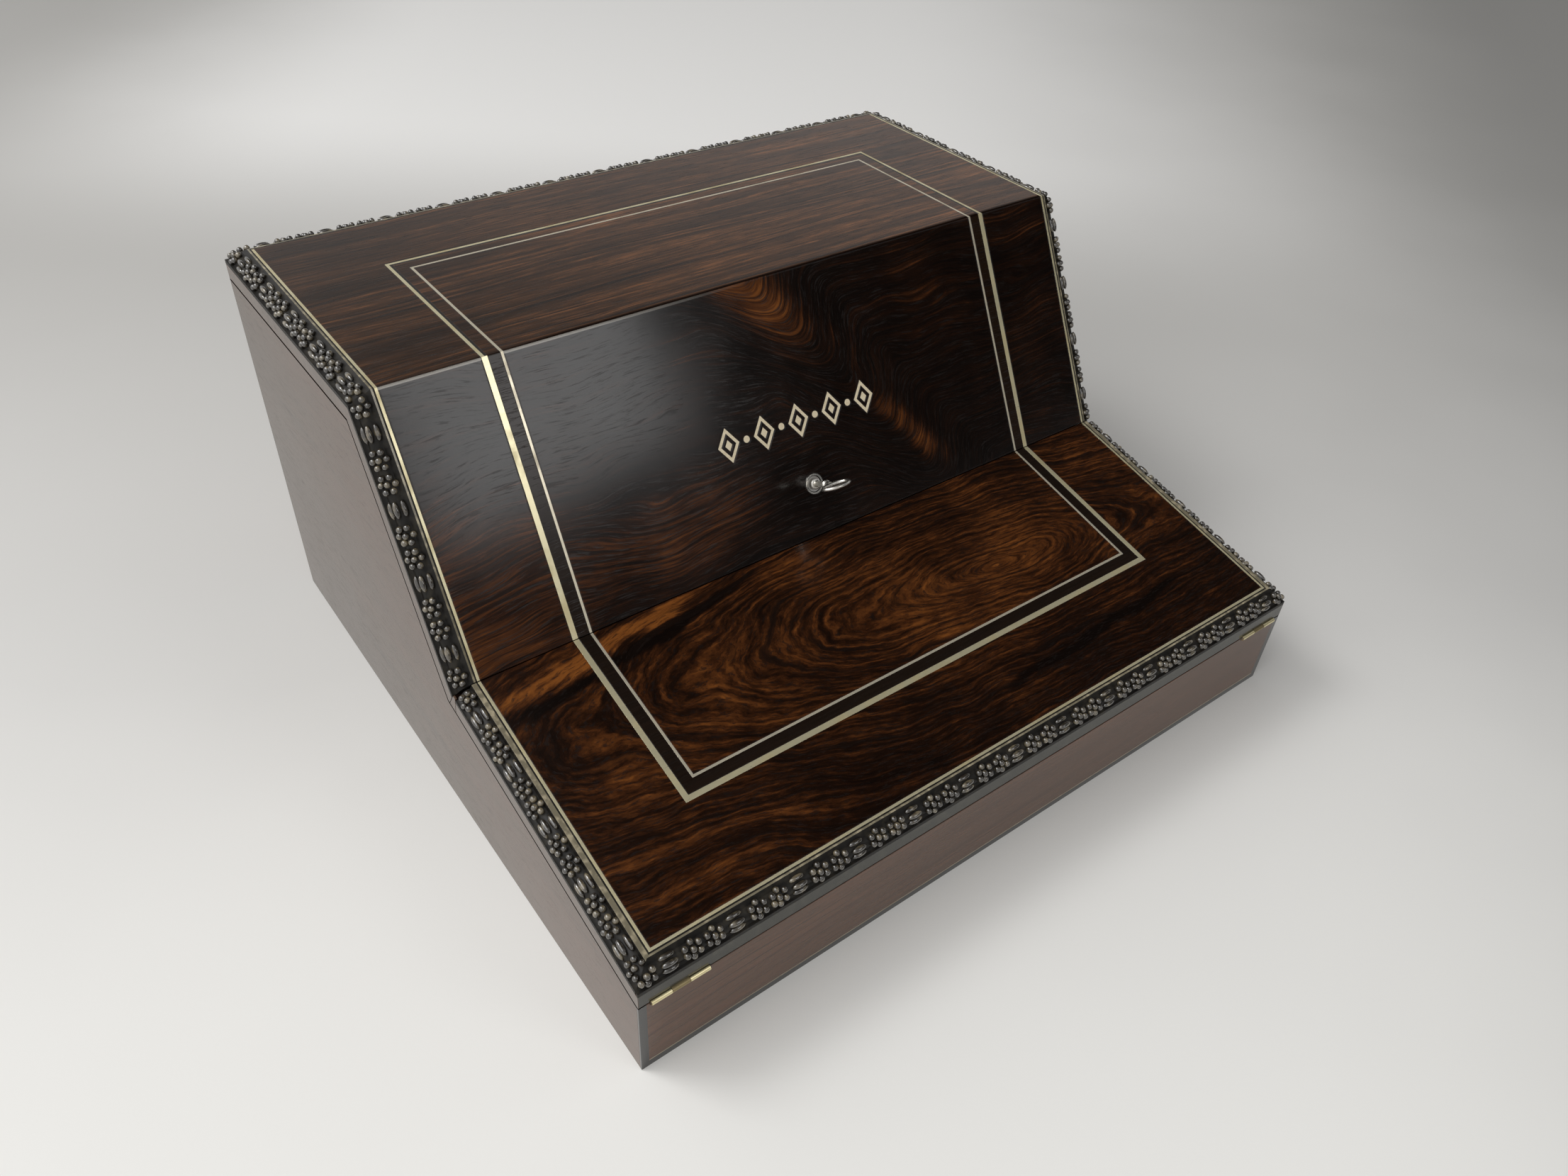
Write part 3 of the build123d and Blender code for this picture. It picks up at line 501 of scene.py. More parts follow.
class Recipe:
    """A finish while its nodes are put together."""

    def __init__(self, tree):
        self.tree = tree
        tree.nodes.clear()

    def node(self, kind, settings=None, sockets=None):
        """Adds a node: its settings first, then the values and links of its sockets."""
        made = self.tree.nodes.new(kind)
        for name, value in (settings or {}).items():
            if name == "stops":
                self.fill_ramp(made.color_ramp, value)
            else:
                setattr(made, name, value)
        for name, value in (sockets or {}).items():
            if isinstance(value, Varying):
                self.tree.links.new(value.socket, made.inputs[name])
            else:
                made.inputs[name].default_value = value
        return made

    def fill_ramp(self, ramp, stops):
        """Puts the colours of a ramp at their places."""
        for _ in stops[2:]:
            ramp.elements.new(0.5)
        for element, (place, colour) in zip(ramp.elements, stops):
            element.position = place
            element.color = (*colour, 1.0)

    def out(self, made, socket=0):
        return Varying(self, made.outputs[socket])

    def maths(self, operation, *terms):
        made = self.node("ShaderNodeMath", {"operation": operation}, dict(enumerate(terms)))
        return self.out(made)

    def vector_maths(self, operation, sockets):
        made = self.node("ShaderNodeVectorMath", {"operation": operation}, sockets)
        return self.out(made)

    def place(self):
        """Where a point of the surface is in the box at rest, in millimetres."""
        coordinates = self.out(self.node("ShaderNodeTexCoord"), "Object")
        return self.vector_maths("SCALE", {0: coordinates, "Scale": 1 / millimetre})

    def split(self, vector):
        made = self.node("ShaderNodeSeparateXYZ", {}, {0: vector})
        return [self.out(made, axis) for axis in range(3)]

    def join(self, x, y, z):
        return self.out(self.node("ShaderNodeCombineXYZ", {}, {0: x, 1: y, 2: z}))

    def noise(self, vector, size, detail=2.0, roughness=0.5):
        """Noise from 0 to 1 whose lumps are about as large as a size in millimetres."""
        sockets = {"Vector": vector, "Scale": 1 / size, "Detail": detail, "Roughness": roughness}
        return self.out(self.node("ShaderNodeTexNoise", {"noise_dimensions": "3D"}, sockets))

    def lines(self, value, size, detail=1.0):
        """Uneven lines along the contours of a value, about as wide as a size."""
        sockets = {"W": value, "Scale": 1 / size, "Detail": detail}
        return self.out(self.node("ShaderNodeTexNoise", {"noise_dimensions": "1D"}, sockets))

    def rise(self, value, low, high):
        """Goes smoothly from 0 to 1 as a value goes from low to high."""
        sockets = {"Value": value, "From Min": low, "From Max": high}
        return self.out(self.node("ShaderNodeMapRange", {"interpolation_type": "SMOOTHSTEP"}, sockets))

    def ramp(self, value, stops):
        return self.out(self.node("ShaderNodeValToRGB", {"stops": stops}, {0: value}))

    def mix(self, amount, under, over, blend="MIX"):
        """Lays one colour over another."""
        under = under if isinstance(under, Varying) else (*under, 1.0)
        over = over if isinstance(over, Varying) else (*over, 1.0)
        settings = {"data_type": "RGBA", "blend_type": blend}
        return self.out(self.node("ShaderNodeMix", settings, {0: amount, 6: under, 7: over}), 2)

    def surface(
        self, colour, roughness, relief=None, depth=0.0, rounding=0.0, black_cover=None, **plain
    ):
        """Ends the recipe: depth is the relief's height and rounding the arris, in millimetres,
        and a mask gives where dull black covers the finish, as painted shade and as the black under
        the fold."""
        sockets = {"Base Color": colour, "Roughness": roughness}
        sockets.update({name.replace("_", " "): value for name, value in plain.items()})
        normal = None
        if rounding:
            bevel = self.node("ShaderNodeBevel", {"samples": 4}, {"Radius": rounding * millimetre})
            normal = self.out(bevel)
        if relief is not None:
            bump = {"Height": relief, "Distance": depth * millimetre, "Strength": 1.0}
            if normal is not None:
                bump["Normal"] = normal
            normal = self.out(self.node("ShaderNodeBump", {}, bump))
        if normal is not None:
            sockets["Normal"] = normal
        shader = self.out(self.node("ShaderNodeBsdfPrincipled", {}, sockets))
        # Dull black laid over the finish: painted shade at the seams and the brow, and the black under
        # the fold.
        if black_cover is not None:
            dull = {"Base Color": (*pore_and_shade_black, 1.0), "Roughness": 1.0, "Specular IOR Level": 0.0}
            black = self.out(self.node("ShaderNodeBsdfPrincipled", {}, dull))
            shader = self.out(self.node("ShaderNodeMixShader", {}, {0: black_cover, 1: shader, 2: black}))
        self.node("ShaderNodeOutputMaterial", {}, {"Surface": shader})


def new_finish(name):
    """An empty material and the recipe that fills it."""
    material = bpy.data.materials.new(name)
    material.use_nodes = True
    return material, Recipe(material.node_tree)


# Wood
rosewood_tones = [
    (0.0, (0.003, 0.0013, 0.0007)),
    (0.3, (0.011, 0.0036, 0.0013)),
    (0.52, (0.033, 0.0102, 0.0029)),
    (0.74, (0.078, 0.0245, 0.006)),
    (1.0, (0.185, 0.06, 0.0115)),
]
top_tones = [
    (0.0, (0.012, 0.0054, 0.0022)),
    (0.38, (0.042, 0.0175, 0.007)),
    (0.62, (0.088, 0.036, 0.0135)),
    (1.0, (0.22, 0.085, 0.03)),
]
side_tones = [
    (0.0, (0.046, 0.031, 0.021)),
    (0.5, (0.08, 0.053, 0.035)),
    (1.0, (0.125, 0.06, 0.04)),
]
front_tones = [
    (0.0, (0.04, 0.022, 0.014)),
    (0.5, (0.1, 0.05, 0.029)),
    (1.0, (0.21, 0.08, 0.043)),
]
mahogany_tones = [
    (0.0, (0.09, 0.032, 0.014)),
    (0.5, (0.2, 0.085, 0.038)),
    (1.0, (0.34, 0.16, 0.075)),
]
band_tones = [
    (0.0, (0.004, 0.003, 0.002)),
    (1.0, (0.015, 0.008, 0.005)),
]
# Black of the pores, also used for the painted shade, the black under the fold and the black stain on
# the brass.
pore_and_shade_black = (0.006, 0.003, 0.002)
# Colour of the painted pale highlight along the brow.
highlight_colour = (0.3, 0.28, 0.25)
band_share = 0.24
ring_share = 0.22
strand_share = 0.54


def painted_seam_shade(recipe, place):
    """From 0 to 1 at the painted shade, a dark line along the seam under the lid and the flap."""
    x, y, z = recipe.split(place)
    depths = []
    for point, angle in ((field_front, slope_angle), (fold, fall_angle), (brow, 0.0)):
        depths.append((y - point[0]) * sin(radians(angle)) - (z - point[1]) * cos(radians(angle)))
    depth = recipe.maths("MAXIMUM", depths[0], recipe.maths("MINIMUM", depths[1], depths[2]))
    return recipe.rise(abs(depth - panel_thickness), seam_shade_width + soft_painted_edge, seam_shade_width)


def fold_blackening(recipe, place):
    """From 0 to 1 in the bare wood close under the fold, which is covered with dull black."""
    x, y, z = recipe.split(place)
    low = fold[1] - fold_black_depth
    near = recipe.rise(abs(y - fold[0]), fold_black_reach + fold_black_edge, fold_black_reach)
    return near * recipe.rise(z, low - fold_black_edge, low)


def painted_brow_shade(recipe, place):
    """From 0 to 1 in the painted shade line on the top along the brow, fine at its left end."""
    x, y, z = recipe.split(place)
    back = y - brow[0]
    finer = recipe.rise(x, *fine_end) * finer_by
    shaded = recipe.rise(back + finer, brow_shade_reach, full_brow_shade)
    return shaded * recipe.rise(back, -soft_painted_edge, 0.0)


def painted_brow_highlight(recipe, place):
    """From 0 to 1 at the painted pale highlight along the arris of the fall under the brow, towards
    its left end.
    """
    x, y, z = recipe.split(place)
    low = field_height - brow_highlight_depth
    return recipe.rise(z, low - soft_painted_edge, low) * recipe.rise(x, *brow_highlight_fades)


def polished_wood(
    name,
    figure,
    tones,
    roughness=0.16,
    contrast=1.0,
    rounding=0.45,
    index=1.5,
    blackening=None,
    rubbed=None,
    pore_depth=0.008,
):
    """Veneer under French polish. The figure gives its growth contours, its warmth
    from 0 to 1, and coordinates in which the fibres are round. Masks give dull black, as painted
    shade at the seams and the brow and as the black under the fold, and a pale painted highlight."""
    material, wood = new_finish(name)
    place = wood.place()
    contour, warmth, fibres = figure(wood, place)
    bands = wood.lines(contour, 6.0, 3.0)
    rings = wood.lines(contour, 1.5, 2.0)
    strands = wood.noise(fibres, 1.1, 4.0, 0.7)
    tone = bands * band_share + rings * ring_share + strands * strand_share
    tone = tone + (warmth - 0.5) * 0.5
    spread = 0.3 / contrast
    colour = wood.ramp(wood.rise(tone, 0.5 - spread, 0.5 + spread), tones)
    broken = wood.rise(wood.noise(fibres, 9.0, 2.0), 0.4, 0.62)
    ink = wood.rise(wood.lines(contour + 40.0, 2.6, 2.0), 0.56, 0.63) * broken
    colour = wood.mix(ink * (0.8 * contrast), colour, pore_and_shade_black)
    pores = wood.rise(wood.noise(fibres, 0.6, 3.0, 0.65), 0.54, 0.66)
    colour = wood.mix(pores * (0.65 * contrast), colour, pore_and_shade_black)
    # Dull black where it is given: painted shade at the seams and the brow, and the black under the
    # fold.
    black_cover = blackening(wood, place) if blackening else None
    # A pale painted highlight where it is given.
    if rubbed:
        colour = wood.mix(rubbed(wood, place), colour, highlight_colour)
    cloud = wood.noise(place, 34.0, 3.0)
    gloss = roughness + (cloud - 0.5) * 0.1 + pores * 0.1
    wood.surface(colour, gloss, 1.0 - pores, pore_depth, rounding, black_cover, IOR=index)
    return material


def vein(wood, x, up, first, second, half_breadth):
    """From 0 to 1 near a streak between two places of a panel."""
    slant = (second[1] - first[1]) / (second[0] - first[0])
    off = abs(up - first[1] - (x - first[0]) * slant)
    middle, half_length = (first[0] + second[0]) / 2, (second[0] - first[0]) / 2
    along = wood.rise(abs(x - middle), half_length + 12.0, half_length - 12.0)
    return wood.rise(off, half_breadth * 1.5, half_breadth * 0.3) * along


def spot(wood, x, up, centre, half_sizes):
    """From 0 to 1 inside a soft oval of a panel."""
    across = (x - centre[0]) / half_sizes[0]
    rise = (up - centre[1]) / half_sizes[1]
    return wood.rise(across * across + rise * rise, 1.0, 0.0)


# Figure of the slope: places are given across the box and up the slope
eye = (54.0, 74.0)
eye_stretch = 4.2
eye_tilt = 0.06
ember_streak = ((-156.0, 108.0), (-72.0, 120.0), 3.4)
black_streak = ((-150.0, 101.0), (-50.0, 115.0), 2.2)
black_streak_in_front = ((20.0, 24.0), (120.0, 30.0), 1.8)
left_glow = ((-118.0, 70.0), (40.0, 22.0))
eye_glow = ((52.0, 74.0), (90.0, 36.0))


def slope_figure(wood, place):
    """Oval growth rings round an eye to the right, with black and fiery streaks on the left."""
    x, y, z = wood.split(place)
    up = (y - front_y) / cos(radians(slope_angle))
    swirl = (wood.noise(place, 75.0, 2.0) - 0.5) * 22.0
    ripple = (wood.noise(wood.join(x * 0.45, y, z), 7.0, 3.0) - 0.5) * 3.4
    across = (x - eye[0]) / eye_stretch
    rise = up - eye[1] + (x - eye[0]) * eye_tilt
    ring = wood.maths("SQRT", across * across + rise * rise)
    contour = ring * 1.15 + swirl + ripple
    shifting = up + wood.noise(place, 17.0, 2.0) * 8.0 - 4.0
    ember = vein(wood, x, shifting, *ember_streak)
    glow = spot(wood, x, shifting, *left_glow) * 0.3
    glow = glow + spot(wood, x, shifting, *eye_glow) * 0.6
    black = vein(wood, x, shifting, *black_streak)
    black = black + vein(wood, x, shifting, *black_streak_in_front) * 0.8
    warmth = wood.noise(place, 40.0, 3.0) * 0.7 + 0.1 - wood.rise(up, 60.0, 20.0) * 0.12
    warmth = warmth + ember * 0.5 + glow * 0.2 - black * 0.55
    fibres = wood.join(x * 0.13, contour, up * 0.2)
    return contour, warmth, fibres


# Figure of the fall: places are given across the box and up the fall
flame_top = (-9.0, 104.0)
flame_slant = 0.74
brown_knot = ((-62.0, 22.0), (52.0, 24.0))
olive_patch = ((78.0, 84.0), (30.0, 30.0))


def fall_figure(wood, place):
    """Nearly black, with a flame that leans down to the right and brown on the left."""
    x, y, z = wood.split(place)
    up = (z - fold[1]) / sin(radians(fall_angle))
    drift = (wood.noise(wood.join(x * 0.5, y, z), 50.0, 2.0) - 0.5) * 34.0
    ripple = (wood.noise(wood.join(x * 0.25, y, z), 9.0, 3.0) - 0.5) * 2.0
    lean = x + (up - flame_top[1]) * flame_slant - flame_top[0] + drift * 0.2
    contour = up + drift + ripple + wood.rise(abs(lean), 34.0, 0.0) * 26.0
    upper = wood.rise(abs(lean), 23.0, 3.0) * wood.rise(up, 58.0, 97.0)
    lower = wood.rise(abs(lean - 8.0), 12.0, 1.0) * wood.rise(abs(up - 28.0), 27.0, 8.0)
    left = wood.rise(x, -60.0, -135.0) * wood.rise(up, 90.0, 30.0)
    knot = spot(wood, x, up, *brown_knot)
    right = wood.rise(x, 96.0, 140.0) * wood.rise(wood.noise(place, 24.0, 2.0), 0.4, 0.6)
    warmth = wood.noise(place, 34.0, 3.0) * 0.7 - 0.22
    olive = spot(wood, x, up, *olive_patch)
    warmth = warmth + upper * 0.62 + lower * 0.5 + left * 0.42 + knot * 0.3 + right * 0.12
    warmth = warmth + olive * 0.16
    fibres = wood.join(x * 0.06, contour, up * 0.11)
    return contour, warmth, fibres


def straight_figure(wood, place):
    """Straight grain along the box, that wanders a little."""
    x, y, z = wood.split(place)
    stretched = wood.join(x * 0.14, y, z)
    wander = (wood.noise(stretched, 24.0, 3.0) - 0.5) * 13.0
    contour = y + z + wander
    warmth = wood.noise(stretched, 17.0, 3.0) * 0.9
    fibres = wood.join(x * 0.07, contour, z * 0.1)
    return contour, warmth, fibres


def top_figure(wood, place):
    """Straight grain, darker to the left, and black on the fall, for the band that runs on there."""
    contour, warmth, fibres = straight_figure(wood, place)
    x, y, z = wood.split(place)
    warmth = warmth - wood.rise(x, -40.0, -150.0) * 0.2
    return contour, warmth - wood.rise(y, brow[0] + 0.2, brow[0] - 0.2) * 3.0, fibres


def upright_figure(wood, place):
    """Straight grain from front to back, as the sides have, redder low down in front."""
    x, y, z = wood.split(place)
    contour, warmth, fibres = straight_figure(wood, wood.join(y, x, z))
    return contour, warmth * 0.6 + wood.rise(z - y, -100.0, 150.0) * 0.5, fibres


def ebony(name, polish, rubbed, index=1.6, coat=0.3, side=None, roughness=0.09):
    """Black polish over hardwood, rubbed and dusty in patches, perhaps with lighter veneer
    on the sides of the box."""
    material, black = new_finish(name)
    place = black.place()
    smear = black.noise(place, 9.0, 3.0)
    dust = black.rise(black.noise(place, 3.2, 2.0), 0.45, 0.72)
    colour = black.mix(dust, polish, rubbed)
    black_cover = None
    if side:
        x, y, z = black.split(place)
        grain = black.noise(black.join(x, y * 0.08, z), 1.2, 3.0)
        outside = black.rise(abs(x), half_width - 0.4, half_width - 0.1)
        colour = black.mix(outside, colour, black.ramp(grain, side))
        # Painted shade: a dark line along the seam under the lid and the flap, on the panel edges.
        black_cover = painted_seam_shade(black, place)
    gloss = roughness + smear * 0.16 + dust * 0.05
    black.surface(colour, gloss, smear, 0.03, 0.12, black_cover, IOR=index, Coat_Weight=coat)
    return material


def stain_on_top(recipe, place):
    """From 0 to 1 where black stain covers the inner half of the broad line on the top."""
    x, y, z = recipe.split(place)
    beside = field_half_width - brass_line_inset - abs(x)
    inward = recipe.maths("MINIMUM", beside, top_inner[0] - brass_line_inset - y)
    low, high = brass_line_on_top - soft_line_edge, brass_line_on_top + soft_line_edge
    return recipe.rise(inward, low, high) * recipe.rise(y, brow[0], brow[0] + full_brow_shade)


def metal(name, light, dark, roughness, grain_size=2.0, tarnish=0.5, metallic=1.0, stain=None):
    """Metal with a brushed grain, tarnish in soft patches, and perhaps black stain."""
    material, brushed = new_finish(name)
    place = brushed.place()
    x, y, z = brushed.split(place)
    hairs = brushed.noise(brushed.join(x * 0.2, y, z), grain_size * 0.3, 2.0)
    patches = brushed.rise(brushed.noise(place, grain_size * 5.0, 3.0), 0.42, 0.7)
    colour = brushed.mix(patches * tarnish, light, dark)
    if stain:
        covered = stain(brushed, place)
        colour = brushed.mix(covered, colour, pore_and_shade_black)
        metallic = (1.0 - covered) * metallic
    gloss = roughness + patches * 0.14 + (hairs - 0.5) * 0.12
    brushed.surface(colour, gloss, hairs, 0.01, 0.08, Metallic=metallic)
    return material


def pale_wood(name, dark=(0.62, 0.5, 0.32), light=(0.82, 0.74, 0.55)):
    """Fine pale inlay wood, yellowed by its polish."""
    material, pale = new_finish(name)
    place = pale.place()
    x, y, z = pale.split(place)
    grain = pale.noise(pale.join(x * 0.15, y, z), 0.8, 2.0)
    colour = pale.mix(grain, dark, light)
    pale.surface(colour, 0.22 + grain * 0.12, grain, 0.01)
    return material


def velvet(name):
    """Short pile, brushed darker and lighter in patches."""
    material, pile = new_finish(name)
    place = pile.place()
    brushed = pile.rise(pile.noise(place, 22.0, 3.0), 0.35, 0.65)
    threads = pile.noise(place, 0.7, 2.0)
    colour = pile.mix(brushed, (0.06, 0.008, 0.015), (0.1, 0.015, 0.025))
    pile.surface(colour, 0.85 + threads * 0.1, threads, 0.25, Sheen_Weight=0.5, Sheen_Roughness=0.4)
    return material


def watered_paper(name):
    """Lining paper with a watered pattern and a few brown age spots."""
    material, paper = new_finish(name)
    place = paper.place()
    x, y, z = paper.split(place)
    wave = (paper.noise(paper.join(x, y * 0.4, z), 30.0, 2.0) - 0.5) * 60.0
    water = paper.lines(y + wave, 5.0, 1.0)
    spots = paper.rise(paper.noise(place, 5.0, 1.0), 0.7, 0.78)
    colour = paper.mix(water, (0.42, 0.35, 0.24), (0.62, 0.55, 0.42))
    colour = paper.mix(spots * 0.5, colour, (0.24, 0.13, 0.06))
    paper.surface(colour, 0.7 + water * 0.1, paper.noise(place, 0.6, 2.0), 0.02)
    return material


def writing_skin(name):
    """Green skiver with a grain of small cells and a gilt border of two lines."""
    low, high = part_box("writing_leather")
    half_length = (high.y - low.y) / 2 / millimetre / cos(radians(slope_angle))
    middle = (high.y + low.y) / 2 / millimetre
    half_span = high.x / millimetre
    material, skin = new_finish(name)
    place = skin.place()
    x, y, z = skin.split(place)
    to_end = half_length - abs(y - middle) / cos(radians(slope_angle))
    edge = skin.maths("MINIMUM", half_span - abs(x), to_end)
    wide = skin.rise(abs(edge - gilt_inset), gilt_width / 2 + 0.1, gilt_width / 2 - 0.1)
    fine_half = gilt_second_width / 2
    fine = skin.rise(abs(edge - gilt_second_inset), fine_half + 0.1, fine_half - 0.1)
    rubbed = skin.rise(skin.noise(place, 1.6, 3.0), 0.36, 0.46)
    gilt = skin.maths("MAXIMUM", wide, fine) * rubbed
    cells = skin.node("ShaderNodeTexVoronoi", {"feature": "F1"}, {"Vector": place, "Scale": 1.3})
    cell = skin.out(cells, "Distance")
    worn = skin.rise(skin.noise(place, 36.0, 3.0), 0.45, 0.7)
    colour = skin.mix(worn, (0.024, 0.052, 0.026), (0.042, 0.076, 0.038))
    colour = skin.mix(gilt, colour, (0.78, 0.56, 0.22))
    gloss = 0.5 + worn * 0.12 - gilt * 0.2
    skin.surface(colour, gloss, cell - gilt * 0.6, 0.05, Metallic=gilt)
    return material


# The sheet under the box has painted light and shade: paler in front and in a painted pool of light
# behind the box, and darker away to the right. Its distances are in millimetres.
away = (0.63, 0.78)
painted_falloff_span = (-330.0, 560.0)
painted_pool_depths = (310.0, 640.0)
painted_pool_left = (-790.0, -400.0)
painted_pool_right = (640.0, 60.0)
painted_pool_colour = (0.82, 0.81, 0.79)
painted_dusk_span = (220.0, 570.0)
painted_dusk_slant = 0.24
painted_dusk_strength = 0.36
painted_falloff_tones = [
    (0.0, (0.82, 0.81, 0.78)),
    (0.3, (0.63, 0.62, 0.6)),
    (1.0, (0.44, 0.43, 0.41)),
]


def floor_paper(name):
    """The pale sheet that the box stands on, with painted light and shade."""
    material, sheet = new_finish(name)
    place = sheet.place()
    x, y, z = sheet.split(place)
    cloud = sheet.noise(place, 260.0, 3.0)
    fibres = sheet.noise(place, 1.2, 2.0)
    # Painted light: paler in front, darker further away.
    distance = x * 0.5 + y * 0.85 + (cloud - 0.5) * 120.0
    colour = sheet.ramp(sheet.rise(distance, *painted_falloff_span), painted_falloff_tones)
    across = x * away[1] - y * away[0] + (cloud - 0.5) * 80.0
    depth = x * away[0] + y * away[1]
    # Painted pool of light behind the box.
    painted_pool = sheet.rise(depth, *painted_pool_depths) * sheet.rise(across, *painted_pool_left)
    painted_pool = painted_pool * sheet.rise(across, *painted_pool_right)
    # Painted shade darkening the sheet away to the right.
    painted_dusk = sheet.rise(across - depth * painted_dusk_slant, *painted_dusk_span) * painted_dusk_strength
    colour = sheet.mix(painted_pool, colour, painted_pool_colour)
    colour = sheet.mix(painted_dusk, colour, (0.0, 0.0, 0.0))
    sheet.surface(colour, 0.82, fibres, 0.02)
    return material


dull_index = 1.42
brass_colours = ((0.88, 0.8, 0.53), (0.6, 0.5, 0.27))
finishes = {
    "carcass_wood": polished_wood(
        "carcass_wood_finish", straight_figure, mahogany_tones, 0.42, 0.6, blackening=fold_blackening
    ),
    "rosewood_side": polished_wood(
        "rosewood_side_finish",
        upright_figure,
        side_tones,
        roughness=0.14,
        contrast=0.45,
        index=dull_index,
        # Painted shade along the seam under the lid and the flap.
        blackening=painted_seam_shade,
    ),
    "rosewood_top": polished_wood(
        # Painted shade along the brow.
        "rosewood_top_finish", top_figure, top_tones, 0.2, index=dull_index, blackening=painted_brow_shade
    ),
    "rosewood_fall": polished_wood(
        "rosewood_fall_finish",
        fall_figure,
        rosewood_tones,
        rounding=0.9,
        # Painted highlight along the arris under the brow.
        rubbed=painted_brow_highlight,
        pore_depth=0.001,
    ),
    "rosewood_slope": polished_wood("rosewood_slope_finish", slope_figure, rosewood_tones),
    "ebonised": ebony("ebonised_finish", (0.005, 0.0046, 0.0042), (0.018, 0.015, 0.011)),
    "dark_band": polished_wood("dark_band_finish", straight_figure, band_tones, 0.16, 0.6),
    "brass_inlay": metal("brass_inlay_finish", *brass_colours, 0.3, tarnish=0.7, metallic=0.75),
    "white_metal_inlay": metal(
        "white_metal_finish", (0.8, 0.73, 0.57), (0.48, 0.41, 0.29), 0.3, metallic=0.7
    ),
    "maple_inlay": pale_wood("maple_inlay_finish"),
    "rack_wood": polished_wood("rack_wood_finish", straight_figure, mahogany_tones, 0.3, 0.6),
    "velvet": velvet("velvet_finish"),
    "lining_paper": watered_paper("lining_paper_finish"),
    "leather": writing_skin("leather_finish"),
    "hinge_brass": metal("hinge_brass_finish", (0.86, 0.76, 0.46), (0.42, 0.3, 0.13), 0.3, 2.0, 0.7),
    "steel": metal("steel_finish", (0.5, 0.49, 0.47), (0.2, 0.16, 0.13), 0.35),
    "key_metal": metal("key_metal_finish", (0.76, 0.74, 0.69), (0.42, 0.38, 0.31), 0.22, 1.2, 0.6),
}
carved_ebony = ebony(
    "carved_ebony_finish", (0.022, 0.017, 0.011), (0.16, 0.13, 0.08), index=1.7, coat=1.0
)
hollow_ebony = ebony(
    "hollow_ebony_finish",
    (0.006, 0.0048, 0.0034),
    (0.02, 0.0165, 0.011),
    index=1.35,
    coat=0.0,
    roughness=0.4,
)
worn_ebony = ebony("worn_ebony_finish", (0.16, 0.14, 0.095), (0.36, 0.31, 0.21))
panel_edges = ebony(
    "panel_edges_finish",
    (0.03, 0.029, 0.022),
    (0.05, 0.047, 0.035),
    index=1.45,
    coat=0.1,
    side=side_tones,
)

# Finishes of single pieces, which differ from the rest of their slot
special_finishes = {
    "front_veneer": polished_wood("front_veneer_finish", straight_figure, front_tones, 0.14, 0.36),
    "lid_dark_band": polished_wood(
        # Painted shade along the brow.
        "lid_band_finish", top_figure, top_tones, 0.2, index=dull_index, blackening=painted_brow_shade
    ),
    "lid_brass_band": metal(
        "lid_brass_finish", *brass_colours, 0.3, tarnish=0.7, metallic=0.75, stain=stain_on_top
    ),
    "base_line": pale_wood("base_line_finish", (0.2, 0.15, 0.1), (0.3, 0.25, 0.17)),
    # The flap's hinge leaves are darker and rougher brass than the case's.
    "front_hinge_flap_leaves": metal(
        "dull_brass_finish", (0.3, 0.24, 0.13), (0.16, 0.12, 0.07), 0.4, 2.0, 0.7
    ),
    "lid_edge_veneer": panel_edges,
    "flap_edge_veneer": panel_edges,
}

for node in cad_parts.values():
    for material_slot in node.material_slots:
        material_slot.material = finishes[material_slot.material.name]
for name, finish in special_finishes.items():
    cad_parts[name].material_slots[0].material = finish

# Carved mouldings
mouldings = [
    ("carved_slope_side_mouldings", "slope_side_mouldings", "flap", slope_right, True),
    ("carved_front_moulding", "front_moulding", "flap", front_run, False),
    ("carved_fall_mouldings", "fall_mouldings", "lid", fall_right, True),
    ("carved_top_side_mouldings", "top_side_mouldings", "lid", top_right, True),
    ("carved_back_moulding", "back_moulding", "lid", back_run, False),
]
for name, node_name, body, run, both_sides in mouldings:
    moulding = carved(run, both_sides).make(name, carved_ebony, worn_ebony, hollow_ebony)
    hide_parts(node_name)
    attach(moulding, body)


# Key
def turned(solids, profile, origin, axis, segments=24):
    """Adds a turned solid: its profile is places along the axis and radii."""
    side = Vector((1, 0, 0))
    other = axis.cross(side)
    points = []
    for along, radius in profile:
        for count in range(segments):
            turn = 2 * pi * count / segments
            rim = side * (radius * cos(turn)) + other * (radius * sin(turn))
            points.append(origin + axis * along + rim)
    solids.add(points, ring_faces(len(profile), segments))


def warded_bit(solids, origin):
    """Adds the key's bit, with one notch for a ward."""
    outline = [
        (0, 0),
        (0, bit_reach),
        (ward_start, bit_reach),
        (ward_start, bit_reach - ward_depth),
        (ward_start + ward_width, bit_reach - ward_depth),
        (ward_start + ward_width, bit_reach),
        (bit_length, bit_reach),
        (bit_length, 0),
    ]
    points = []
    for side in (-1, 1):
        for out, across in outline:
            flat = direction(fall_angle) * (side * bit_thickness / 2)
            points.append(origin + fall_up * (out - shank_inside) + to_right * across + flat)
    solids.add(points, ring_faces(2, len(outline)))


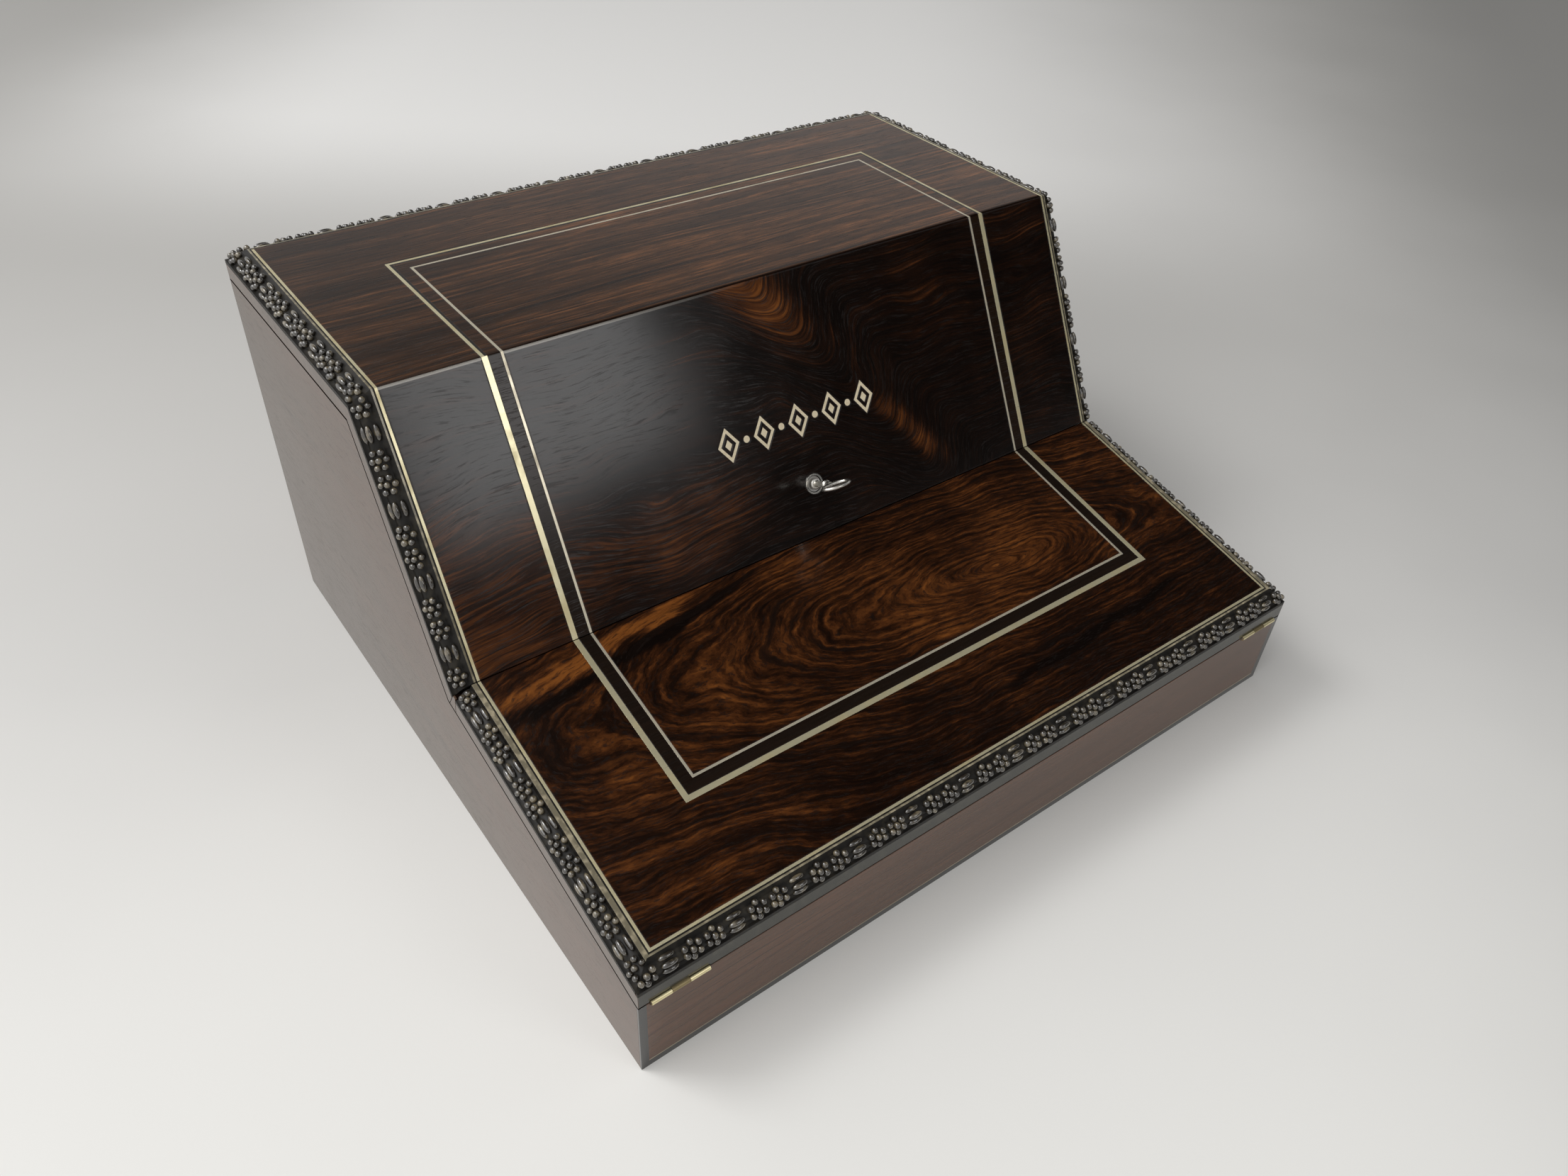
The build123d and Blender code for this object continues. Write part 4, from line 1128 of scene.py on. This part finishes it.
def key_solids():
    """A turned shank with two collars, an oval bow of round metal, and a bit."""
    solids = Solids()
    origin = in_space(keyhole)
    profile = [
        (-shank_inside, shank_radius * 0.75),
        (-shank_inside + 0.4, shank_radius),
        (0.6, shank_radius),
        (0.7, 2.05),
        (0.95, 2.28),
        (1.45, 2.28),
        (1.7, 2.05),
        (1.8, shank_radius),
        (4.0, shank_radius * 0.93),
        (7.6, shank_radius * 0.9),
        (8.2, shank_radius),
        (8.45, 1.85),
        (8.8, 2.0),
        (9.15, 1.85),
        (9.4, shank_radius),
        (shank_outside, shank_radius * 0.9),
    ]
    turned(solids, profile, origin, fall_up)
    centre = origin + fall_up * bow_centre_out
    rings, segments = 48, 12
    points = []
    for ring in range(rings):
        turn = 2 * pi * ring / rings
        metal_radius = bow_metal / 2 * (0.86 + 0.14 * sin(turn) ** 2)
        wide = bow_half_width - bow_metal / 2
        long = bow_half_length - bow_metal / 2
        middle = centre + to_right * (wide * cos(turn)) + fall_up * (long * sin(turn))
        outward = to_right * (long * cos(turn)) + fall_up * (wide * sin(turn))
        outward.normalize()
        for count in range(segments):
            roll = 2 * pi * count / segments
            flat = direction(fall_angle) * (0.92 * metal_radius * sin(roll))
            points.append(middle + outward * (metal_radius * cos(roll)) + flat)
    tube = ring_faces(rings, segments, closed_ends=False)
    last = (rings - 1) * segments
    for corner in range(segments):
        after = (corner + 1) % segments
        tube.append([last + corner, last + after, after, corner])
    solids.add(points, tube)
    warded_bit(solids, origin)
    return solids


key = key_solids().make("turned_key", finishes["key_metal"])
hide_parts("key")
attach(key, "key")

# Floor, lamps and world
half_floor = 6.0
floor_mesh = bpy.data.meshes.new("floor")
floor_corners = [
    (-half_floor, -half_floor, 0),
    (half_floor, -half_floor, 0),
    (half_floor, half_floor, 0),
    (-half_floor, half_floor, 0),
]
floor_mesh.from_pydata(floor_corners, [], [(0, 1, 2, 3)])
floor_mesh.materials.append(floor_paper("floor_finish"))
floor = bpy.data.objects.new("floor", floor_mesh)
scene.collection.objects.link(floor)


def soft_lamp(name, place, target, size, strength):
    """A square soft lamp, in metres and watts, turned to a target."""
    lamp = bpy.data.lights.new(name, "AREA")
    lamp.shape = "RECTANGLE"
    lamp.size, lamp.size_y = size
    lamp.energy = strength
    made = bpy.data.objects.new(name, lamp)
    made.location = place
    made.rotation_euler = (Vector(target) - Vector(place)).to_track_quat("-Z", "Y").to_euler()
    scene.collection.objects.link(made)


soft_lamp("key_lamp", (-0.9, 0.75, 1.5), (0, 0, 0.05), (0.6, 0.6), 10.0)
soft_lamp("left_lamp", (-0.95, 0.0, 1.4), (0, 0, 0.05), (1.3, 1.3), 8.5)
soft_lamp("window_lamp", (0.36, -1.15, 0.72), (-0.1, 0.0, 0.14), (0.42, 0.4), 1.6)

# The room: a wall to the left and one behind are lit, and it is dark towards the front and
# under the ceiling on the right. Directions go from -1 to 1.
room_light = 0.48
left_wall_light = 0.4
back_wall_light = 0.08
least_light = 0.02
left_wall_span = (0.05, -0.6)
back_wall_span = (0.4, 0.8)
dark_front_spans = [("y", -0.2, -0.5), ("x", -0.15, 0.2), ("z", 0.04, 0.16), ("z", 0.66, 0.46)]
dark_ceiling_spans = [("z", 0.3, 0.56), ("x", -0.1, 0.3), ("y", -0.22, 0.0)]


def dark_part(room, axes, spans):
    """From 0 to 1 in the part of the room where each of its spans has risen."""
    dark = 1.0
    for axis, low, high in spans:
        dark = dark * room.rise(axes[axis], low, high)
    return dark


world = bpy.data.worlds.new("room")
scene.world = world
world.use_nodes = True
room = Recipe(world.node_tree)
axes = dict(zip("xyz", room.split(room.out(room.node("ShaderNodeTexCoord"), "Generated"))))
left_wall = room.rise(axes["x"], *left_wall_span)
back_wall = room.rise(axes["y"], *back_wall_span)
dark_front = dark_part(room, axes, dark_front_spans)
dark_ceiling = dark_part(room, axes, dark_ceiling_spans)
light = room_light + left_wall * left_wall_light + back_wall * back_wall_light
light = light * (1.0 - dark_front) * (1.0 - dark_ceiling) + least_light
shown = room.join(light, light, light)
background = room.node("ShaderNodeBackground", {}, {"Color": shown})
room.node("ShaderNodeOutputWorld", {}, {"Surface": room.out(background)})

# Camera
camera_data = bpy.data.cameras.new("camera")
camera_data.lens = camera_lens
camera_data.sensor_width = sensor_width
camera_data.clip_start = 0.01
camera_data.clip_end = 50.0
camera = bpy.data.objects.new("camera", camera_data)
turn_columns = Matrix((camera_right, camera_up, camera_back)).transposed()
camera.matrix_world = Matrix.Translation(Vector(camera_place)) @ turn_columns.to_4x4()
scene.collection.objects.link(camera)
scene.camera = camera
scene.view_settings.view_transform = "Standard"
